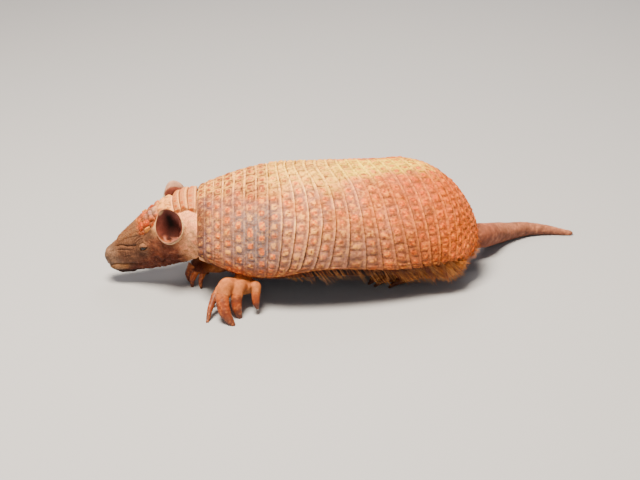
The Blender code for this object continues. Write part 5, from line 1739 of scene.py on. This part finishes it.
def edge_hair(name, side, chance):
    """Single slanting hairs and short fuzz below one edge of the shell."""
    count = EDGE_HAIRS + EDGE_FUZZ
    row = -0.045 + 0.155 * chance.random(EDGE_HAIRS)
    row = np.concatenate([row, -0.155 + 0.180 * chance.random(EDGE_FUZZ)])
    single = np.arange(count) < EDGE_HAIRS
    turn = side * EDGE_TURN * (0.975 + 0.025 * chance.random(count))
    here, back, _, normal = shell_frame(row, turn, -0.0010)
    lie = unit(0.75 * back - 0.95 * np.array([0, 0, 1]) + 0.25 * normal + wavy(here, 0.40, 125))
    long = np.where(single, 0.0070 + 0.0135 * smooth(-0.045, -0.010, row), 0.0034)
    long = long * (0.6 + 0.6 * chance.random(count))
    wide = np.where(single, 0.00026, 0.00013) * (0.8 + 0.5 * chance.random(count))
    light = blend(smooth(0.35, 0.60, chance.random(count)) * single, DARK_HAIR, STRAW * 1.25)
    paint, unwrapped = (UMBER * 2, light), shell_patch(row, turn)
    tufts(f"edge_{name}_hair", here, normal, lie, 0.10 * back, long, wide, paint, unwrapped)


def rump_fuzz(chance):
    """Short hair between the scutes of the rump, thicker to the rear, and a longer fringe round
    its rear margin."""
    row = 0.070 + (RUMP_END - 0.078) * chance.random(RUMP_HAIRS) ** 0.75
    half = np.sign(chance.random(RUMP_HAIRS) - 0.5)
    turn = EDGE_TURN * half * (1 - chance.random(RUMP_HAIRS) ** 1.35)
    row = np.concatenate([row, RUMP_END - 0.007 * chance.random(MARGIN_HAIRS) ** 2])
    turn = np.concatenate([turn, EDGE_TURN * (2 * chance.random(MARGIN_HAIRS) - 1)])
    here, back, down, normal = shell_frame(row, turn, -0.0006)
    margin = smooth(RUMP_END - 0.020, RUMP_END - 0.002, row)
    lie = unit(0.75 * back + 0.35 * down + (0.42 + 0.25 * margin[:, None]) * normal + wavy(here, 0.45, 140))
    long = 0.0028 + 0.0016 * smooth(0.5, 0.9, np.abs(turn) / EDGE_TURN) + 0.0050 * margin
    long = long * (0.55 + 0.8 * chance.random(len(row)))
    wide = 0.00013 + 0.00008 * chance.random(len(row))
    light = blend(smooth(0.6, 1.0, chance.random(len(row))), GOLD * (1.1, 0.85, 0.7), STRAW)
    paint, unwrapped = (UMBER * 2, light), shell_patch(row, turn)
    tufts("rump_hair", here, normal, lie, -0.25 * normal + 0.15 * down, long, wide, paint, unwrapped)


def band_fuzz(chance):
    """A few fine hairs that stand out from under the rear edge of each band."""
    row = BAND_FRONT + BAND_PITCH * (chance.integers(0, BAND_COUNT + 1, BAND_HAIRS) + 0.99) - 0.0005
    turn = EDGE_TURN * (2 * chance.random(BAND_HAIRS) - 1)
    here, back, down, normal = shell_frame(row, turn, -0.0006)
    lie = unit(0.80 * back + 0.30 * down + 0.22 * normal + wavy(here, 0.30, 150))
    long = 0.0022 + 0.0030 * chance.random(BAND_HAIRS)
    wide = np.full(BAND_HAIRS, 0.00010)
    light = blend(chance.random(BAND_HAIRS), GOLD, STRAW * 1.1)
    paint, unwrapped = (UMBER * 3, light), shell_patch(row, turn)
    tufts("band_hair", here, normal, lie, -0.15 * normal, long, wide, paint, unwrapped)


def body_hair(name, wanted, count, reach, chance):
    """Thin hair on the skin, rooted at a few of the points that are wanted. It lies rearwards
    and down, close to the skin."""
    chosen = chance.choice(np.flatnonzero(wanted), count, replace=False)
    here, normal, body = skin_spots[chosen], skin_normals[chosen], on_body[chosen]
    heading = spine_heading(body[:, 0])
    rearward = np.stack([np.cos(heading), np.sin(heading), -0.35 + 0 * heading], -1)
    rearward = unit(rearward - 0.85 * normal * np.sum(rearward * normal, axis=-1, keepdims=True))
    lie = unit(rearward + 0.38 * normal + wavy(here, 0.35, 160))
    long = reach * (0.5 + 0.8 * chance.random(count))
    wide = np.full(count, 0.00011)
    paint = UMBER, blend(chance.random(count), (0.10, 0.032, 0.012), (0.26, 0.095, 0.030))
    turn = np.arctan2(body[:, 1], body[:, 2] - 0.055)
    unwrapped = np.stack([0.02 + 0.96 * (body[:, 0] + 0.30) / 0.62, 0.5 + 0.48 * turn / np.pi], -1)
    tufts(name, here - 0.0003 * normal, normal, lie, -0.20 * normal, long, wide, paint, unwrapped)


hair = hair_finish()
for side, name in ((-1, "left"), (1, "right")):
    chance = np.random.default_rng(7 + side)
    hip_hair(name, side, chance)
    edge_hair(name, side, chance)

chance = np.random.default_rng(31)
rump_fuzz(chance)
band_fuzz(chance)

skin_normals = triples(skin_mesh.vertex_normals, "vector")
skin_height = skin_spots[:, 2]
on_body = from_spine(skin_spots)
forward, _, up = from_head(skin_spots).T
toes = from_toes(skin_spots) < 0.022
belly = (np.abs(on_body[:, 0] - 0.01) < 0.165) & (skin_height < 0.052) & (forward < -0.004)
belly = belly & ~toes & (skin_height > 0.004)
cheek = (forward > 0.000) & (forward < 0.085) & (up < 0.002 - 0.35 * np.maximum(forward - 0.05, 0))
body_hair("under_hair", belly, UNDER_HAIRS, 0.0062, chance)
body_hair("cheek_hair", cheek, CHEEK_HAIRS, 0.0032, chance)


# ------------------------------------------------------------------ floor, light and camera
# A plain pale floor under soft boxes, seen with a long lens from the animal's left front.

def stage_floor():
    """A large flat floor that turns up into a backdrop behind the animal, as one strip swept
    sideways: flat, then a quarter circle, then upright."""
    reach, wall, radius = 4.0, 3.0, 1.2
    turn = np.linspace(0, math.pi / 2, 13)
    profile_y = np.concatenate([[-reach], wall - radius + radius * np.sin(turn), [wall]])
    profile_z = np.concatenate([[0], radius - radius * np.cos(turn), [wall]])
    side = np.array([-reach, reach])
    points = np.stack(np.broadcast_arrays(side, profile_y[:, None], profile_z[:, None]), -1)
    i = np.arange(len(profile_y) - 1)
    quads = np.stack([i * 2, i * 2 + 1, i * 2 + 3, i * 2 + 2], -1)
    return mesh_of_faces("floor", points, quads)


paper, paper_tree, paper_surface = new_finish("pale paper")
feed(paper_tree, paper_surface, {"Base Color": (0.34, 0.40, 0.52, 1), "Roughness": 0.9})
floor = placed("floor", stage_floor())
floor.data.materials.append(paper)


def soft_box(name, place, aim, size, power, colour):
    """A square soft light that faces a point."""
    lamp = bpy.data.lights.new(name, "AREA")
    lamp.size, lamp.energy, lamp.color = size, power, colour
    holder = placed(name, lamp)
    holder.location = place
    holder.rotation_euler = (Vector(aim) - Vector(place)).to_track_quat("-Z", "Y").to_euler()


soft_box("key", (-0.45, -0.35, 1.90), (0, 0, 0.08), 0.75, 175, (1.0, 0.76, 0.50))
soft_box("fill", (-0.5, -2.0, 0.9), (0, 0, 0.06), 1.4, 9, (1.0, 0.80, 0.60))
soft_box("back", (0.5, 1.4, 1.5), (0, 0, 0.08), 1.0, 26, (1.0, 0.80, 0.60))

world = bpy.data.worlds.new("studio")
world.use_nodes = True
sky = world.node_tree.nodes["Background"]
feed(world.node_tree, sky, {"Color": (1.0, 0.83, 0.72, 1), "Strength": 0.22})
bpy.context.scene.world = world

VIEW_TURN, VIEW_RISE, VIEW_AWAY = math.radians(-12), math.radians(24), 1.73
aim = Vector(footing + (-0.015, 0.0, 0.0468))
level = math.cos(VIEW_RISE)
back = Vector((math.sin(VIEW_TURN) * level, -math.cos(VIEW_TURN) * level, math.sin(VIEW_RISE)))
lens = bpy.data.cameras.new("camera")
lens.lens = 80
camera = placed("camera", lens)
camera.location = aim + back * VIEW_AWAY
camera.rotation_euler = (-back).to_track_quat("-Z", "Y").to_euler()
bpy.context.scene.camera = camera
